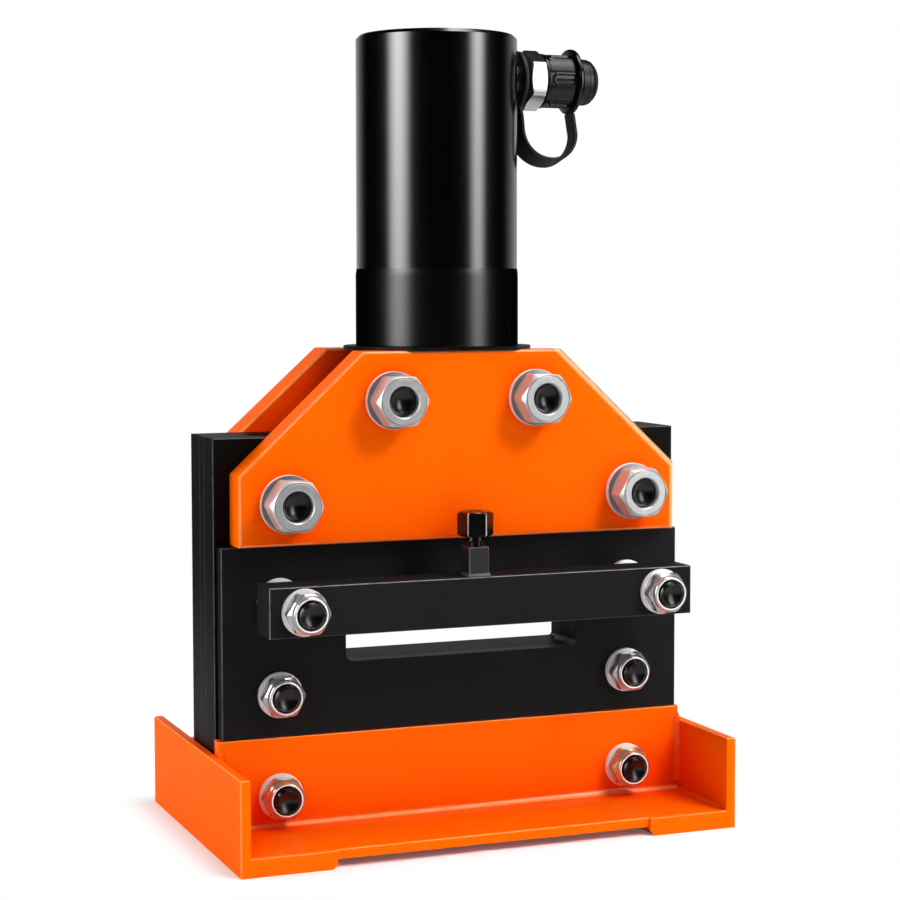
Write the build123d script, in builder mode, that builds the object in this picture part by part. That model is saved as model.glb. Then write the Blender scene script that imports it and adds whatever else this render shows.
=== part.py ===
"""A hydraulic busbar cutter: a cylinder over a slotted plate stack that stands in a steel tray.

Millimetres, +Z up, the front with the nuts faces -Y, and the origin lies on the ground under the
middle of the plate stack. At rest the blade is up, the clamping screw is raised and the cap is on.
"""

import os

from build123d import *

os.makedirs("parts", exist_ok=True)

# Fits and seams
running_fit = 0.05
thread_gap = 0.05
slide_gap = 0.15
seam_gap = 0.5
seat_gap = 0.3
black_edge = 0.5
painted_edge = 1.2

# Shapes of hexagons and quarter turns
hex_sides = 6
hex_blank_ratio = 0.6
right_angle = 90

# Tray
tray_depth = 204
end_plate_thickness = 6
end_plate_height = 57
end_plate_gap = 0.25
foot_thickness = 5
foot_width = 53
foot_lip = 3
foot_chamfer = 3
floor_thickness = 6
web_thickness = 10
web_height = 61
bend_radius = 4

# Guide plates and the spacers between them
body_width = 310
body_lift = 8
body_height = 241
guide_plate_thickness = 20
blade_gap = 10
spacer_width = 55
spacer_top_width = 29
spacer_notch = 21

# Slot for the busbar
slot_width = 156
slot_height = 26
slot_floor = 110
slot_offset = 4
slot_radius = 5
slot_relief = 9.5
slot_drop = 2.4
rear_slot_radius = 2.5

# Front slot plate
slot_plate_thickness = 10
slot_plate_height = 117
slot_plate_inset = 2

# Clamp plates that tie the cylinder to the guide plates
clamp_thickness = 22
clamp_inset = 10
rear_clamp_thickness = 25
rear_clamp_inset = 7.7
clamp_side_height = 43
clamp_top_width = 132
clamp_seam = 1
clamp_edge = 2
head_height = 52

# Clamp bolts, four through both clamp plates
clamp_thread = 20
clamp_nut_flats = 30
clamp_nut_height = 17
clamp_nut_crown = 28.4
clamp_nut_slope = 1.1
clamp_washer = 35.5
clamp_washer_thickness = 4
clamp_head_height = 12.5
clamp_bolt_inset = 40.5
clamp_bolt_rise = 25.5
clamp_bolt_recess = 3
head_bolt_spacing = 94.6
head_bolt_drop = 30

# Frame bolts, six in three rows
frame_thread = 16
frame_nut_flats = 24
frame_nut_height = 12.3
frame_nut_crown = 20
frame_nut_slope = 1
frame_washer = 28
frame_washer_thickness = 2.5
frame_head_height = 10
frame_bolt_inset = 38.3
frame_bolt_show = 1.8
base_bolt_height = 30
frame_bolt_height = 92.4
stud_height = 150
bolt_hole_gap = 0.5
washer_edge = 0.6
bolt_tip_chamfer = 1.4
bolt_tip_dome = 1
bolt_head_slope = 0.45

# Hold-down bar and its screw
hold_bar_gap = 25
hold_bar_thickness = 25
hold_bar_height = 30
hold_bar_overhang = 21.3
stud_sleeve_wall = 4
boss_size = 13
boss_height = 17.5
boss_edge = 0.4
screw_offset = -3.4
screw_radius = 4.95
screw_neck_radius = 5.6
screw_neck_height = 3
screw_flats = 20
screw_head_height = 15
screw_travel = 6
pad_radius = 4.4
pad_height = 4
pad_recess = 0.4
pad_stem_radius = 2.5
pad_stem_height = 6

# Blade
blade_rest_gap = 1
blade_rake = 6
blade_overtravel = 1
blade_shoulder_drop = 9
tongue_width = 32
blade_pin_radius = 6
blade_pin_length = 32

# Cylinder
mount_width = 128
mount_chamfer = 14
mount_flange_diameter = 119
mount_flange_thickness = 2
spigot_radius = 30
spigot_height = 18
cylinder_diameter = 102
collar_height = 45
collar_step = 0.6
collar_nose_radius = 42
collar_nose_height = 14
barrel_height = 149.5
barrel_cap = 14
barrel_bore_radius = 37.5
barrel_chamfer = 2.2
barrel_foot_round = 3
barrel_seal_height = 2
barrel_seal_width = 5
port_drop = 25.5
port_radius = 8.5

# Ram
ram_radius = 18
ram_end_gap = 1
ram_passage_gap = 0.5
clevis_depth = 24
clevis_roof = 2
ram_spigot_radius = 12
ram_spigot_height = 20
piston_height = 30
piston_port_gap = 0.5
piston_stop_radius = 15
piston_seal_depth = 5
piston_seal_height = 6
piston_seal_drop = 7
wear_ring_depth = 3
wear_ring_height = 8
wear_ring_rise = 5
rod_seal_width = 5
rod_seal_height = 6
rod_seal_drop = 9
wiper_height = 5
spring_wire_radius = 3
spring_radius = 26
spring_turns = 5

# Oil coupler on the right of the barrel
neck_radius = 11
neck_start_gap = 0.6
coupler_hex_flats = 34
coupler_hex_start = 58.5
coupler_hex_length = 11.5
coupler_hex_crown = 16.4
coupler_hex_slope = 0.5
nipple_engagement = 10
oil_bore_radius = 4
chamber_radius = 8
chamber_wall = 6
sleeve_radius = 13
sleeve_length = 17
spigot_thread_radius = 10
spigot_thread_length = 8
mouth_radius = 5
mouth_length = 6
poppet_head_length = 5
poppet_gap = 0.2
valve_wire_radius = 0.7
valve_spring_radius = 5.5
valve_spring_turns = 6

# Dust cap and its strap
cap_gap = 0.3
cap_start_gap = 0.6
cap_wall = 3.7
cap_crown = 3
cap_slot_count = 6
cap_slot_length = 14
cap_slot_width = 4
cap_slot_depth = 1
cap_neck_radius = 12
cap_lip_thickness = 2.4
cap_lip_radius = 14
knob_radius = 14.8
knob_length = 13
knob_dome_radius = 8
strap_width = 12
strap_thickness = 2.4
strap_ring_thickness = 3
strap_ring_radius = 18.4
strap_end_radius = 20.9
strap_ring_gap = 0.3
strap_drop = 51.7
strap_left_bend = 22
strap_bulge = 2.6

# Levels and depths that follow from the sizes above
body_half = body_width / 2
stack_depth = 2 * guide_plate_thickness + blade_gap
stack_half = stack_depth / 2
body_top = body_lift + body_height
tray_inner = body_half + end_plate_gap
tray_half = tray_depth / 2
floor_top = foot_thickness + floor_thickness
web_top = foot_thickness + web_height
slot_plate_bottom = web_top + seam_gap
slot_plate_top = slot_plate_bottom + slot_plate_height
slot_front = stack_half + slot_plate_thickness
slot_top = slot_floor + slot_height
clamp_bottom = slot_plate_top + clamp_seam
clamp_top = body_top + head_height
clamp_front = stack_half + clamp_thickness
clamp_half = body_half - clamp_inset
clamp_rear = stack_half + rear_clamp_thickness
rear_clamp_half = body_half - rear_clamp_inset
clamp_shoulder = clamp_bottom + clamp_side_height
clamp_bolt_x = body_half - clamp_bolt_inset
clamp_bolt_level = clamp_bottom + clamp_bolt_rise
head_bolt_level = clamp_top - head_bolt_drop
clamp_hole = clamp_thread / 2 + bolt_hole_gap
frame_bolt_x = body_half - frame_bolt_inset
frame_hole = frame_thread / 2 + bolt_hole_gap
hold_back = slot_front + hold_bar_gap
hold_front = hold_back + hold_bar_thickness
hold_middle = (hold_back + hold_front) / 2
hold_top = stud_height + hold_bar_height / 2
hold_bottom = stud_height - hold_bar_height / 2
stroke = slot_height + blade_rest_gap + blade_rake + blade_overtravel
blade_low = slot_top + blade_rest_gap
blade_half = body_half - spacer_width - slide_gap
blade_thickness = blade_gap - 2 * slide_gap
ram_end = body_top + stroke + ram_end_gap
blade_top = ram_end + clevis_depth - clevis_roof
blade_pin_level = ram_end + clevis_depth / 2
collar_bottom = clamp_top + mount_flange_thickness
collar_top = collar_bottom + collar_height
nose_top = collar_top + collar_nose_height
cylinder_radius = cylinder_diameter / 2
barrel_top = collar_top + barrel_height
bore_top = barrel_top - barrel_cap
port_level = barrel_top - port_drop
piston_top = port_level - port_radius - piston_port_gap
piston_bottom = piston_top - piston_height
piston_radius = barrel_bore_radius - running_fit
hex_end = coupler_hex_start + coupler_hex_length
sleeve_end = hex_end + sleeve_length
cap_start = hex_end + cap_start_gap
cap_face = sleeve_end + cap_gap
cap_end = cap_face + cap_crown
cap_lip_start = cap_end + strap_ring_thickness + 2 * strap_ring_gap
cap_inner = sleeve_radius + cap_gap
cap_outer = cap_inner + cap_wall


def facing(depth):
    """The upright plane at that depth, with X to the right, Z up and its normal to the front."""
    return Plane.XZ.offset(-depth)


def along_port(x):
    """The plane across the oil port's axis at that distance from the cylinder's axis."""
    return Plane(origin=(x, 0, port_level), x_dir=(0, 1, 0), z_dir=(1, 0, 0))


def both_sides(x, level):
    """A pair of points, left and right, at one level."""
    return [(-x, level), (x, level)]


def hex_nut(flats, height, crown, slope, thread):
    """A hexagon nut on the XY plane, its corners turned down on a cone to a round crown."""
    with BuildPart() as nut:
        with BuildSketch():
            RegularPolygon(flats / 2, hex_sides, major_radius=False)
        extrude(amount=height)
        with BuildSketch(Plane.XZ):
            with BuildLine():
                blank = flats * hex_blank_ratio
                cone_low = height - (blank - crown / 2) * slope
                rim = (crown / 2, height)
                Polyline((0, 0), (blank, 0), (blank, cone_low), rim, (0, height), close=True)
            make_face()
        revolve(axis=Axis.Z, mode=Mode.INTERSECT)
        Hole(thread / 2 + thread_gap)
    return nut.part


def washer(diameter, thickness, thread):
    """A plain washer on the XY plane, with its outer rim broken."""
    with BuildPart() as ring:
        with BuildSketch():
            Circle(diameter / 2)
            Circle(thread / 2 + bolt_hole_gap, mode=Mode.SUBTRACT)
        extrude(amount=thickness)
        chamfer(ring.edges().group_by(Axis.Z)[-1].sort_by(SortBy.RADIUS)[-1], washer_edge)
    return ring.part


def hex_bolt(flats, head_height, thread, length):
    """A hexagon bolt with its head under the XY plane and a domed tip at the end of its shank."""
    with BuildPart() as bolt:
        with BuildSketch():
            RegularPolygon(flats / 2, hex_sides, major_radius=False)
        extrude(amount=-head_height)
        with BuildSketch(Plane.XZ):
            with BuildLine():
                slope_end = (flats / 2) * bolt_head_slope - head_height
                Polyline((0, 0), (flats, 0), (flats, slope_end), (flats / 2, -head_height),
                         (0, -head_height), close=True)
            make_face()
        revolve(axis=Axis.Z, mode=Mode.INTERSECT)
        with BuildSketch(Plane.XZ):
            with BuildLine():
                shoulder = length - bolt_tip_dome
                rim = thread / 2 - bolt_tip_chamfer
                Polyline((0, length), (0, 0), (thread / 2, 0), (thread / 2, shoulder - bolt_tip_chamfer),
                         (rim, shoulder))
                TangentArc((0, length), (rim, shoulder), tangent=(1, 0))
            make_face()
        revolve(axis=Axis.Z)
    return bolt.part


def seats(points, depth):
    """Places on the upright plane at that depth, each with its own Z axis to the front."""
    plane = facing(depth)
    return [plane * Location((x, level)) for x, level in points]


# Rows of bolts, as points on an upright plane
clamp_bolt_points = both_sides(clamp_bolt_x, clamp_bolt_level)
head_bolt_points = both_sides(head_bolt_spacing / 2, head_bolt_level)
base_bolt_points = both_sides(frame_bolt_x, base_bolt_height)
frame_bolt_points = both_sides(frame_bolt_x, frame_bolt_height)
stud_points = both_sides(frame_bolt_x, stud_height)

# Tray: a pair of angles, front and rear, between two end plates that stand on flat feet
for end, toward in (("front", -1), ("rear", 1)):
    with BuildPart() as angle:
        with BuildSketch(Plane.YZ.offset(-tray_inner)):
            with BuildLine():
                edge = toward * (tray_half - foot_lip)
                outside = toward * (stack_half + web_thickness)
                inside = toward * stack_half
                Polyline((inside, foot_thickness), (edge, foot_thickness), (edge, floor_top),
                         (outside, floor_top), (outside, web_top), (inside, web_top), close=True)
            make_face()
        extrude(amount=2 * tray_inner)
        along_x = angle.edges().filter_by(Axis.X)
        bend = along_x.sort_by_distance((0, outside, floor_top))[0]
        fillet(bend, bend_radius)
        rims = angle.edges().filter_by(Axis.X)
        web_rim = rims.sort_by_distance((0, outside, web_top))[0]
        floor_rim = rims.sort_by_distance((0, edge, floor_top))[0]
        fillet([web_rim, floor_rim], painted_edge)
        with Locations(*seats(base_bolt_points, -tray_half)):
            Hole(frame_hole)
    angle.part.label = f"base_{end}_angle"
    export_step(angle.part, f"parts/base_{end}_angle.step")

for side, toward in (("left", -1), ("right", 1)):
    with BuildPart() as end_plate:
        with BuildSketch(Plane.YZ.offset(toward * tray_inner)):
            with Locations((0, end_plate_height / 2)):
                Rectangle(tray_depth, end_plate_height)
        extrude(amount=toward * end_plate_thickness)
        upper = end_plate.faces().sort_by(Axis.Z)[-1]
        fillet(upper.edges(), painted_edge)
    end_plate.part.label = f"base_end_plate_{side}"
    export_step(end_plate.part, f"parts/base_end_plate_{side}.step")

    with BuildPart() as foot:
        foot_middle = toward * (tray_inner - foot_width / 2)
        with BuildSketch():
            with Locations((foot_middle, 0)):
                Rectangle(foot_width, tray_depth)
        extrude(amount=foot_thickness)
        with BuildSketch(Plane.XY.offset(foot_thickness)):
            lip_middle = tray_half - foot_lip / 2
            with Locations((foot_middle, -lip_middle), (foot_middle, lip_middle)):
                Rectangle(foot_width, foot_lip)
        extrude(amount=floor_thickness)
        heel = (toward * (tray_inner - foot_width), 0, 0)
        chamfer(foot.edges().filter_by(Axis.Y).sort_by_distance(heel)[0], foot_chamfer)
    foot.part.label = f"base_foot_{side}"
    export_step(foot.part, f"parts/base_foot_{side}.step")

# Guide plates: two thick plates, both slotted, with the blade between them
with BuildPart() as front_guide_plate:
    with BuildSketch(facing(-blade_gap / 2)):
        with Locations((0, body_lift + body_height / 2)):
            Rectangle(body_width, body_height)
        with Locations((slot_offset, slot_floor + slot_height / 2)):
            RectangleRounded(slot_width, slot_height, slot_radius, mode=Mode.SUBTRACT)
        with Locations(*base_bolt_points, *frame_bolt_points, *stud_points):
            Circle(frame_hole, mode=Mode.SUBTRACT)
        with Locations(*clamp_bolt_points):
            Circle(clamp_hole, mode=Mode.SUBTRACT)
    extrude(amount=guide_plate_thickness)
    chamfer(front_guide_plate.faces().sort_by(Axis.Y)[0].outer_wire().edges(), black_edge)
front_guide_plate.part.label = "front_guide_plate"
export_step(front_guide_plate.part, "parts/front_guide_plate.step")

with BuildPart() as rear_guide_plate:
    with BuildSketch(facing(stack_half)):
        with Locations((0, body_lift + body_height / 2)):
            Rectangle(body_width, body_height)
        with Locations((slot_offset, slot_floor + slot_height / 2 - slot_drop / 2)):
            rear_slot_width = slot_width + 2 * slot_relief
            rear_slot_height = slot_height + slot_drop
            RectangleRounded(rear_slot_width, rear_slot_height, rear_slot_radius, mode=Mode.SUBTRACT)
        with Locations(*base_bolt_points, *frame_bolt_points, *stud_points):
            Circle(frame_hole, mode=Mode.SUBTRACT)
        with Locations(*clamp_bolt_points):
            Circle(clamp_hole, mode=Mode.SUBTRACT)
    extrude(amount=guide_plate_thickness)
    chamfer(rear_guide_plate.faces().sort_by(Axis.Y)[-1].outer_wire().edges(), black_edge)
rear_guide_plate.part.label = "rear_guide_plate"
export_step(rear_guide_plate.part, "parts/rear_guide_plate.step")

for side, toward in (("left", -1), ("right", 1)):
    with BuildPart() as spacer:
        with BuildSketch(facing(blade_gap / 2)):
            with BuildLine():
                outer = toward * body_half
                step = toward * (body_half - spacer_top_width)
                inner = toward * (body_half - spacer_width)
                notch = body_top - spacer_notch
                Polyline((outer, body_lift), (outer, body_top), (step, body_top), (step, notch),
                         (inner, notch), (inner, body_lift), close=True)
            make_face()
            row_x = toward * frame_bolt_x
            with Locations((row_x, base_bolt_height), (row_x, frame_bolt_height), (row_x, stud_height)):
                Circle(frame_hole, mode=Mode.SUBTRACT)
            with Locations((toward * clamp_bolt_x, clamp_bolt_level)):
                Circle(clamp_hole, mode=Mode.SUBTRACT)
        extrude(amount=blade_gap)
    spacer.part.label = f"guide_spacer_{side}"
    export_step(spacer.part, f"parts/guide_spacer_{side}.step")

# Slot plate on the front of the guide plates
with BuildPart() as front_slot_plate:
    with BuildSketch(facing(-stack_half)):
        with Locations((0, slot_plate_bottom + slot_plate_height / 2)):
            Rectangle(body_width - 2 * slot_plate_inset, slot_plate_height)
        with Locations((slot_offset, slot_floor + slot_height / 2)):
            RectangleRounded(slot_width, slot_height, slot_radius, mode=Mode.SUBTRACT)
        with Locations(*frame_bolt_points, *stud_points):
            Circle(frame_hole, mode=Mode.SUBTRACT)
    extrude(amount=slot_plate_thickness)
    chamfer(front_slot_plate.faces().sort_by(Axis.Y)[0].outer_wire().edges(), black_edge)
front_slot_plate.part.label = "front_slot_plate"
export_step(front_slot_plate.part, "parts/front_slot_plate.step")

# Clamp plates: a pair of painted plates with sloped shoulders, front and rear
clamp_ends = (
    ("front", -stack_half, clamp_thickness, clamp_half),
    ("rear", clamp_rear, rear_clamp_thickness, rear_clamp_half),
)
for end, depth, thickness, half in clamp_ends:
    with BuildPart() as clamp_plate:
        with BuildSketch(facing(depth)):
            with BuildLine():
                top_half = clamp_top_width / 2
                Polyline((-half, clamp_bottom), (half, clamp_bottom),
                         (half, clamp_shoulder), (top_half, clamp_top), (-top_half, clamp_top),
                         (-half, clamp_shoulder), close=True)
            make_face()
            with Locations(*clamp_bolt_points, *head_bolt_points):
                Circle(clamp_hole, mode=Mode.SUBTRACT)
        extrude(amount=thickness)
        faces = clamp_plate.faces().sort_by(Axis.Y)
        fillet(faces[0].outer_wire().edges() + faces[-1].outer_wire().edges(), clamp_edge)
    clamp_plate.part.label = f"clamp_plate_{end}"
    export_step(clamp_plate.part, f"parts/clamp_plate_{end}.step")

# Fasteners: bolts from the rear, washers and nuts on the front
clamp_nut_seat = clamp_front + clamp_washer_thickness
clamp_length = clamp_rear + clamp_nut_seat + clamp_nut_height - clamp_bolt_recess
clamp_bolt = hex_bolt(clamp_nut_flats, clamp_head_height, clamp_thread, clamp_length)
clamp_nut = hex_nut(clamp_nut_flats, clamp_nut_height, clamp_nut_crown, clamp_nut_slope, clamp_thread)
with BuildPart() as clamp_bolts:
    with Locations(*seats(clamp_bolt_points + head_bolt_points, clamp_rear)):
        add(clamp_bolt)
clamp_bolts.part.label = "clamp_bolts"
export_step(clamp_bolts.part, "parts/clamp_bolts.step")

with BuildPart() as clamp_washers:
    with Locations(*seats(clamp_bolt_points + head_bolt_points, -clamp_front)):
        add(washer(clamp_washer, clamp_washer_thickness, clamp_thread))
clamp_washers.part.label = "clamp_washers"
export_step(clamp_washers.part, "parts/clamp_washers.step")

with BuildPart() as clamp_nuts:
    with Locations(*seats(clamp_bolt_points + head_bolt_points, -clamp_nut_seat)):
        add(clamp_nut)
clamp_nuts.part.label = "clamp_nuts"
export_step(clamp_nuts.part, "parts/clamp_nuts.step")

frame_stack = frame_washer_thickness + frame_nut_height
frame_reach = frame_stack + frame_bolt_show
web_front = stack_half + web_thickness
frame_rows = (
    ("base_bolts", base_bolt_points, web_front, web_front),
    ("frame_bolts", frame_bolt_points, stack_half, slot_front),
    ("hold_bar_studs", stud_points, stack_half, hold_front),
)
for row, points, back, front in frame_rows:
    with BuildPart() as row_bolts:
        with Locations(*seats(points, back)):
            add(hex_bolt(frame_nut_flats, frame_head_height, frame_thread, back + front + frame_reach))
    row_bolts.part.label = row
    export_step(row_bolts.part, f"parts/{row}.step")

nut_faces = (
    (base_bolt_points, web_front),
    (frame_bolt_points + stud_points, slot_front),
    (stud_points, hold_front),
)
washer_places = []
nut_places = []
for points, front in nut_faces:
    washer_places += seats(points, -front)
    nut_places += seats(points, -front - frame_washer_thickness)

with BuildPart() as frame_washers:
    with Locations(*washer_places):
        add(washer(frame_washer, frame_washer_thickness, frame_thread))
frame_washers.part.label = "frame_washers"
export_step(frame_washers.part, "parts/frame_washers.step")

with BuildPart() as frame_nuts:
    with Locations(*nut_places):
        add(hex_nut(frame_nut_flats, frame_nut_height, frame_nut_crown, frame_nut_slope, frame_thread))
frame_nuts.part.label = "frame_nuts"
export_step(frame_nuts.part, "parts/frame_nuts.step")

# Hold-down bar across the front, kept off the plate by a nut and a sleeve on each stud
with BuildPart() as hold_bar_sleeves:
    with BuildSketch(facing(-slot_front - frame_stack)):
        with Locations(*stud_points):
            Circle(frame_hole + stud_sleeve_wall)
            Circle(frame_hole, mode=Mode.SUBTRACT)
    extrude(amount=hold_bar_gap - frame_stack)
hold_bar_sleeves.part.label = "hold_bar_sleeves"
export_step(hold_bar_sleeves.part, "parts/hold_bar_sleeves.step")

screw_hole = screw_radius + running_fit
with BuildPart() as hold_bar:
    with BuildSketch(facing(-hold_back)):
        with Locations((0, stud_height)):
            Rectangle(2 * (frame_bolt_x + hold_bar_overhang), hold_bar_height)
        with Locations(*stud_points):
            Circle(frame_hole, mode=Mode.SUBTRACT)
    extrude(amount=hold_bar_thickness)
    chamfer(hold_bar.faces().sort_by(Axis.Y)[0].outer_wire().edges(), black_edge)
    with Locations((screw_offset, -hold_middle, hold_top)):
        Hole(screw_hole)
hold_bar.part.label = "hold_bar"
export_step(hold_bar.part, "parts/hold_bar.step")

with BuildPart() as screw_boss:
    with BuildSketch(Plane.XY.offset(hold_top)):
        with Locations((screw_offset, -hold_middle)):
            Rectangle(boss_size, boss_size)
            Circle(screw_hole, mode=Mode.SUBTRACT)
    extrude(amount=boss_height)
    chamfer(screw_boss.faces().sort_by(Axis.Z)[-1].outer_wire().edges(), boss_edge)
    with BuildSketch(Plane.XY.offset(hold_top + boss_height)):
        with Locations((screw_offset, -hold_middle)):
            Circle(screw_neck_radius + seat_gap)
    extrude(amount=-screw_neck_height - seat_gap, mode=Mode.SUBTRACT)
screw_boss.part.label = "hold_screw_boss"
export_step(screw_boss.part, "parts/hold_screw_boss.step")

# Clamping screw, raised by its travel above the boss, with a pressure pad that turns on its tip
pad_bottom = hold_bottom + pad_recess
pad_top = pad_bottom + pad_height
head_bottom = hold_top + boss_height + screw_travel + seat_gap
with BuildPart() as hold_screw:
    with BuildSketch(Plane.XY.offset(head_bottom)):
        with Locations((screw_offset, -hold_middle)):
            RegularPolygon(screw_flats / 2, hex_sides, major_radius=False)
    extrude(amount=screw_head_height)
    head_ends = hold_screw.faces().filter_by(Axis.Z)
    chamfer(head_ends.edges(), black_edge)
    with BuildSketch(Plane.XY.offset(pad_top + running_fit)):
        with Locations((screw_offset, -hold_middle)):
            Circle(screw_radius)
            Circle(pad_stem_radius + running_fit, mode=Mode.SUBTRACT)
    extrude(amount=pad_stem_height + running_fit)
    with BuildSketch(Plane.XY.offset(pad_top + pad_stem_height + 2 * running_fit)):
        with Locations((screw_offset, -hold_middle)):
            Circle(screw_radius)
    extrude(until=Until.NEXT)
    with BuildSketch(Plane.XY.offset(head_bottom)):
        with Locations((screw_offset, -hold_middle)):
            Circle(screw_neck_radius)
    extrude(amount=-screw_neck_height)
hold_screw.part.label = "hold_screw"
export_step(hold_screw.part, "parts/hold_screw.step")

with BuildPart() as pressure_pad:
    with BuildSketch(Plane.XY.offset(pad_bottom)):
        with Locations((screw_offset, -hold_middle)):
            Circle(pad_radius)
    extrude(amount=pad_height)
    with BuildSketch(Plane.XY.offset(pad_top)):
        with Locations((screw_offset, -hold_middle)):
            Circle(pad_stem_radius)
    extrude(amount=pad_stem_height)
pressure_pad.part.label = "pressure_pad"
export_step(pressure_pad.part, "parts/pressure_pad.step")

# Blade: a raked lower edge, square shoulders and a tongue that is pinned in the ram
blade_shoulder = body_top - blade_shoulder_drop
with BuildPart() as moving_blade:
    with BuildSketch(facing(blade_thickness / 2)):
        with BuildLine():
            tongue_half = tongue_width / 2
            Polyline((-blade_half, blade_low), (blade_half, blade_low + blade_rake),
                     (blade_half, blade_shoulder), (tongue_half, blade_shoulder),
                     (tongue_half, blade_top), (-tongue_half, blade_top),
                     (-tongue_half, blade_shoulder), (-blade_half, blade_shoulder), close=True)
        make_face()
        with Locations((0, blade_pin_level)):
            Circle(blade_pin_radius + running_fit, mode=Mode.SUBTRACT)
    extrude(amount=blade_thickness)
moving_blade.part.label = "moving_blade"
export_step(moving_blade.part, "parts/moving_blade.step")

with BuildPart() as blade_pin:
    with BuildSketch(facing(blade_pin_length / 2)):
        with Locations((0, blade_pin_level)):
            Circle(blade_pin_radius)
    extrude(amount=blade_pin_length)
blade_pin.part.label = "blade_pin"
export_step(blade_pin.part, "parts/blade_pin.step")

# Mount block between the clamp plates, with a flange over them and a spigot into the collar
ram_passage = ram_radius + ram_passage_gap
with BuildPart() as mount_block:
    with BuildSketch(facing(stack_half)):
        with BuildLine():
            mount_half = mount_width / 2
            slope_level = clamp_top - mount_chamfer
            Polyline((-mount_half, body_top), (mount_half, body_top), (mount_half, slope_level),
                     (mount_half - mount_chamfer, clamp_top), (mount_chamfer - mount_half, clamp_top),
                     (-mount_half, slope_level), close=True)
        make_face()
        with Locations(*head_bolt_points):
            Circle(clamp_hole, mode=Mode.SUBTRACT)
    extrude(amount=stack_depth)
    with BuildSketch(Plane.XY.offset(clamp_top)):
        Circle(mount_flange_diameter / 2)
    extrude(amount=mount_flange_thickness)
    with BuildSketch(Plane.XY.offset(collar_bottom)):
        Circle(spigot_radius)
    extrude(amount=spigot_height)
    with Locations((0, 0, collar_bottom + spigot_height)):
        Hole(ram_passage)
mount_block.part.label = "cylinder_mount_block"
export_step(mount_block.part, "parts/cylinder_mount_block.step")

# Collar of the cylinder: seated on the mount block, its nose screwed up into the barrel
collar_radius = cylinder_radius + collar_step
rod_hole = ram_radius + running_fit
socket_top = collar_bottom + spigot_height + seat_gap
wiper_top = socket_top + wiper_height
seal_outer = ram_radius + rod_seal_width
rod_seal_bottom = nose_top - rod_seal_drop - rod_seal_height
with BuildPart() as collar:
    with BuildSketch(Plane.XZ):
        with BuildLine():
            socket = spigot_radius + thread_gap
            nose = collar_nose_radius - thread_gap
            Polyline((socket, collar_bottom), (collar_radius, collar_bottom), (collar_radius, collar_top),
                     (nose, collar_top), (nose, nose_top), (rod_hole, nose_top), (rod_hole, wiper_top),
                     (seal_outer, wiper_top), (seal_outer, socket_top), (socket, socket_top), close=True)
        make_face()
    revolve(axis=Axis.Z)
    with BuildSketch(Plane.XZ):
        with Locations(((ram_radius + seal_outer) / 2, rod_seal_bottom + rod_seal_height / 2)):
            Rectangle(rod_seal_width, rod_seal_height)
    revolve(axis=Axis.Z, mode=Mode.SUBTRACT)
    chamfer(collar.edges().filter_by(GeomType.CIRCLE).group_by(SortBy.RADIUS)[-1], black_edge)
collar.part.label = "cylinder_collar"
export_step(collar.part, "parts/cylinder_collar.step")

ring_seals = (
    ("rod_seal", rod_seal_bottom, rod_seal_height),
    ("rod_wiper", socket_top + thread_gap, wiper_height - 2 * thread_gap),
)
for ring, level, height in ring_seals:
    with BuildPart() as seal:
        with BuildSketch(Plane.XY.offset(level)):
            Circle(seal_outer - thread_gap)
            Circle(rod_hole, mode=Mode.SUBTRACT)
        extrude(amount=height)
    seal.part.label = ring
    export_step(seal.part, f"parts/{ring}.step")

# Barrel: closed at the top, with the oil port on its right
with BuildPart() as barrel:
    with BuildSketch(Plane.XZ):
        with BuildLine():
            step_level = nose_top + barrel_seal_height
            Polyline((collar_nose_radius, collar_top), (cylinder_radius, collar_top),
                     (cylinder_radius, barrel_top), (0, barrel_top), (0, bore_top),
                     (barrel_bore_radius, bore_top), (barrel_bore_radius, step_level),
                     (collar_nose_radius, step_level), close=True)
        make_face()
    revolve(axis=Axis.Z)
    with BuildSketch(along_port(0)):
        Circle(port_radius)
    extrude(amount=cylinder_diameter, mode=Mode.SUBTRACT)
    chamfer(barrel.edges().filter_by(GeomType.CIRCLE).sort_by(Axis.Z)[-1], barrel_chamfer)
    foot_rims = barrel.edges().filter_by(GeomType.CIRCLE).group_by(Axis.Z)[0]
    fillet(foot_rims.sort_by(SortBy.RADIUS)[-1], barrel_foot_round)
barrel.part.label = "cylinder_barrel"
export_step(barrel.part, "parts/cylinder_barrel.step")

with BuildPart() as barrel_seal:
    with BuildSketch(Plane.XY.offset(nose_top)):
        Circle(collar_nose_radius - thread_gap)
        Circle(collar_nose_radius - barrel_seal_width, mode=Mode.SUBTRACT)
    extrude(amount=barrel_seal_height)
barrel_seal.part.label = "barrel_seal"
export_step(barrel_seal.part, "parts/barrel_seal.step")

# Piston with a raised stop, a seal and a wear ring
piston_seal_top = piston_top - piston_seal_drop
wear_ring_bottom = piston_bottom + wear_ring_rise
with BuildPart() as piston:
    with BuildSketch(Plane.XY.offset(piston_bottom)):
        Circle(piston_radius)
    extrude(amount=piston_height)
    with BuildSketch(Plane.XY.offset(piston_top)):
        Circle(piston_stop_radius)
    extrude(amount=bore_top - seat_gap - piston_top)
    with BuildSketch(Plane.XZ):
        with Locations((piston_radius - piston_seal_depth / 2, piston_seal_top - piston_seal_height / 2)):
            Rectangle(piston_seal_depth, piston_seal_height)
        with Locations((piston_radius - wear_ring_depth / 2, wear_ring_bottom + wear_ring_height / 2)):
            Rectangle(wear_ring_depth, wear_ring_height)
    revolve(axis=Axis.Z, mode=Mode.SUBTRACT)
    with BuildSketch(Plane.XY.offset(piston_bottom)):
        Circle(ram_spigot_radius + thread_gap)
    extrude(amount=ram_spigot_height + seat_gap, mode=Mode.SUBTRACT)
piston.part.label = "piston"
export_step(piston.part, "parts/piston.step")

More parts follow.
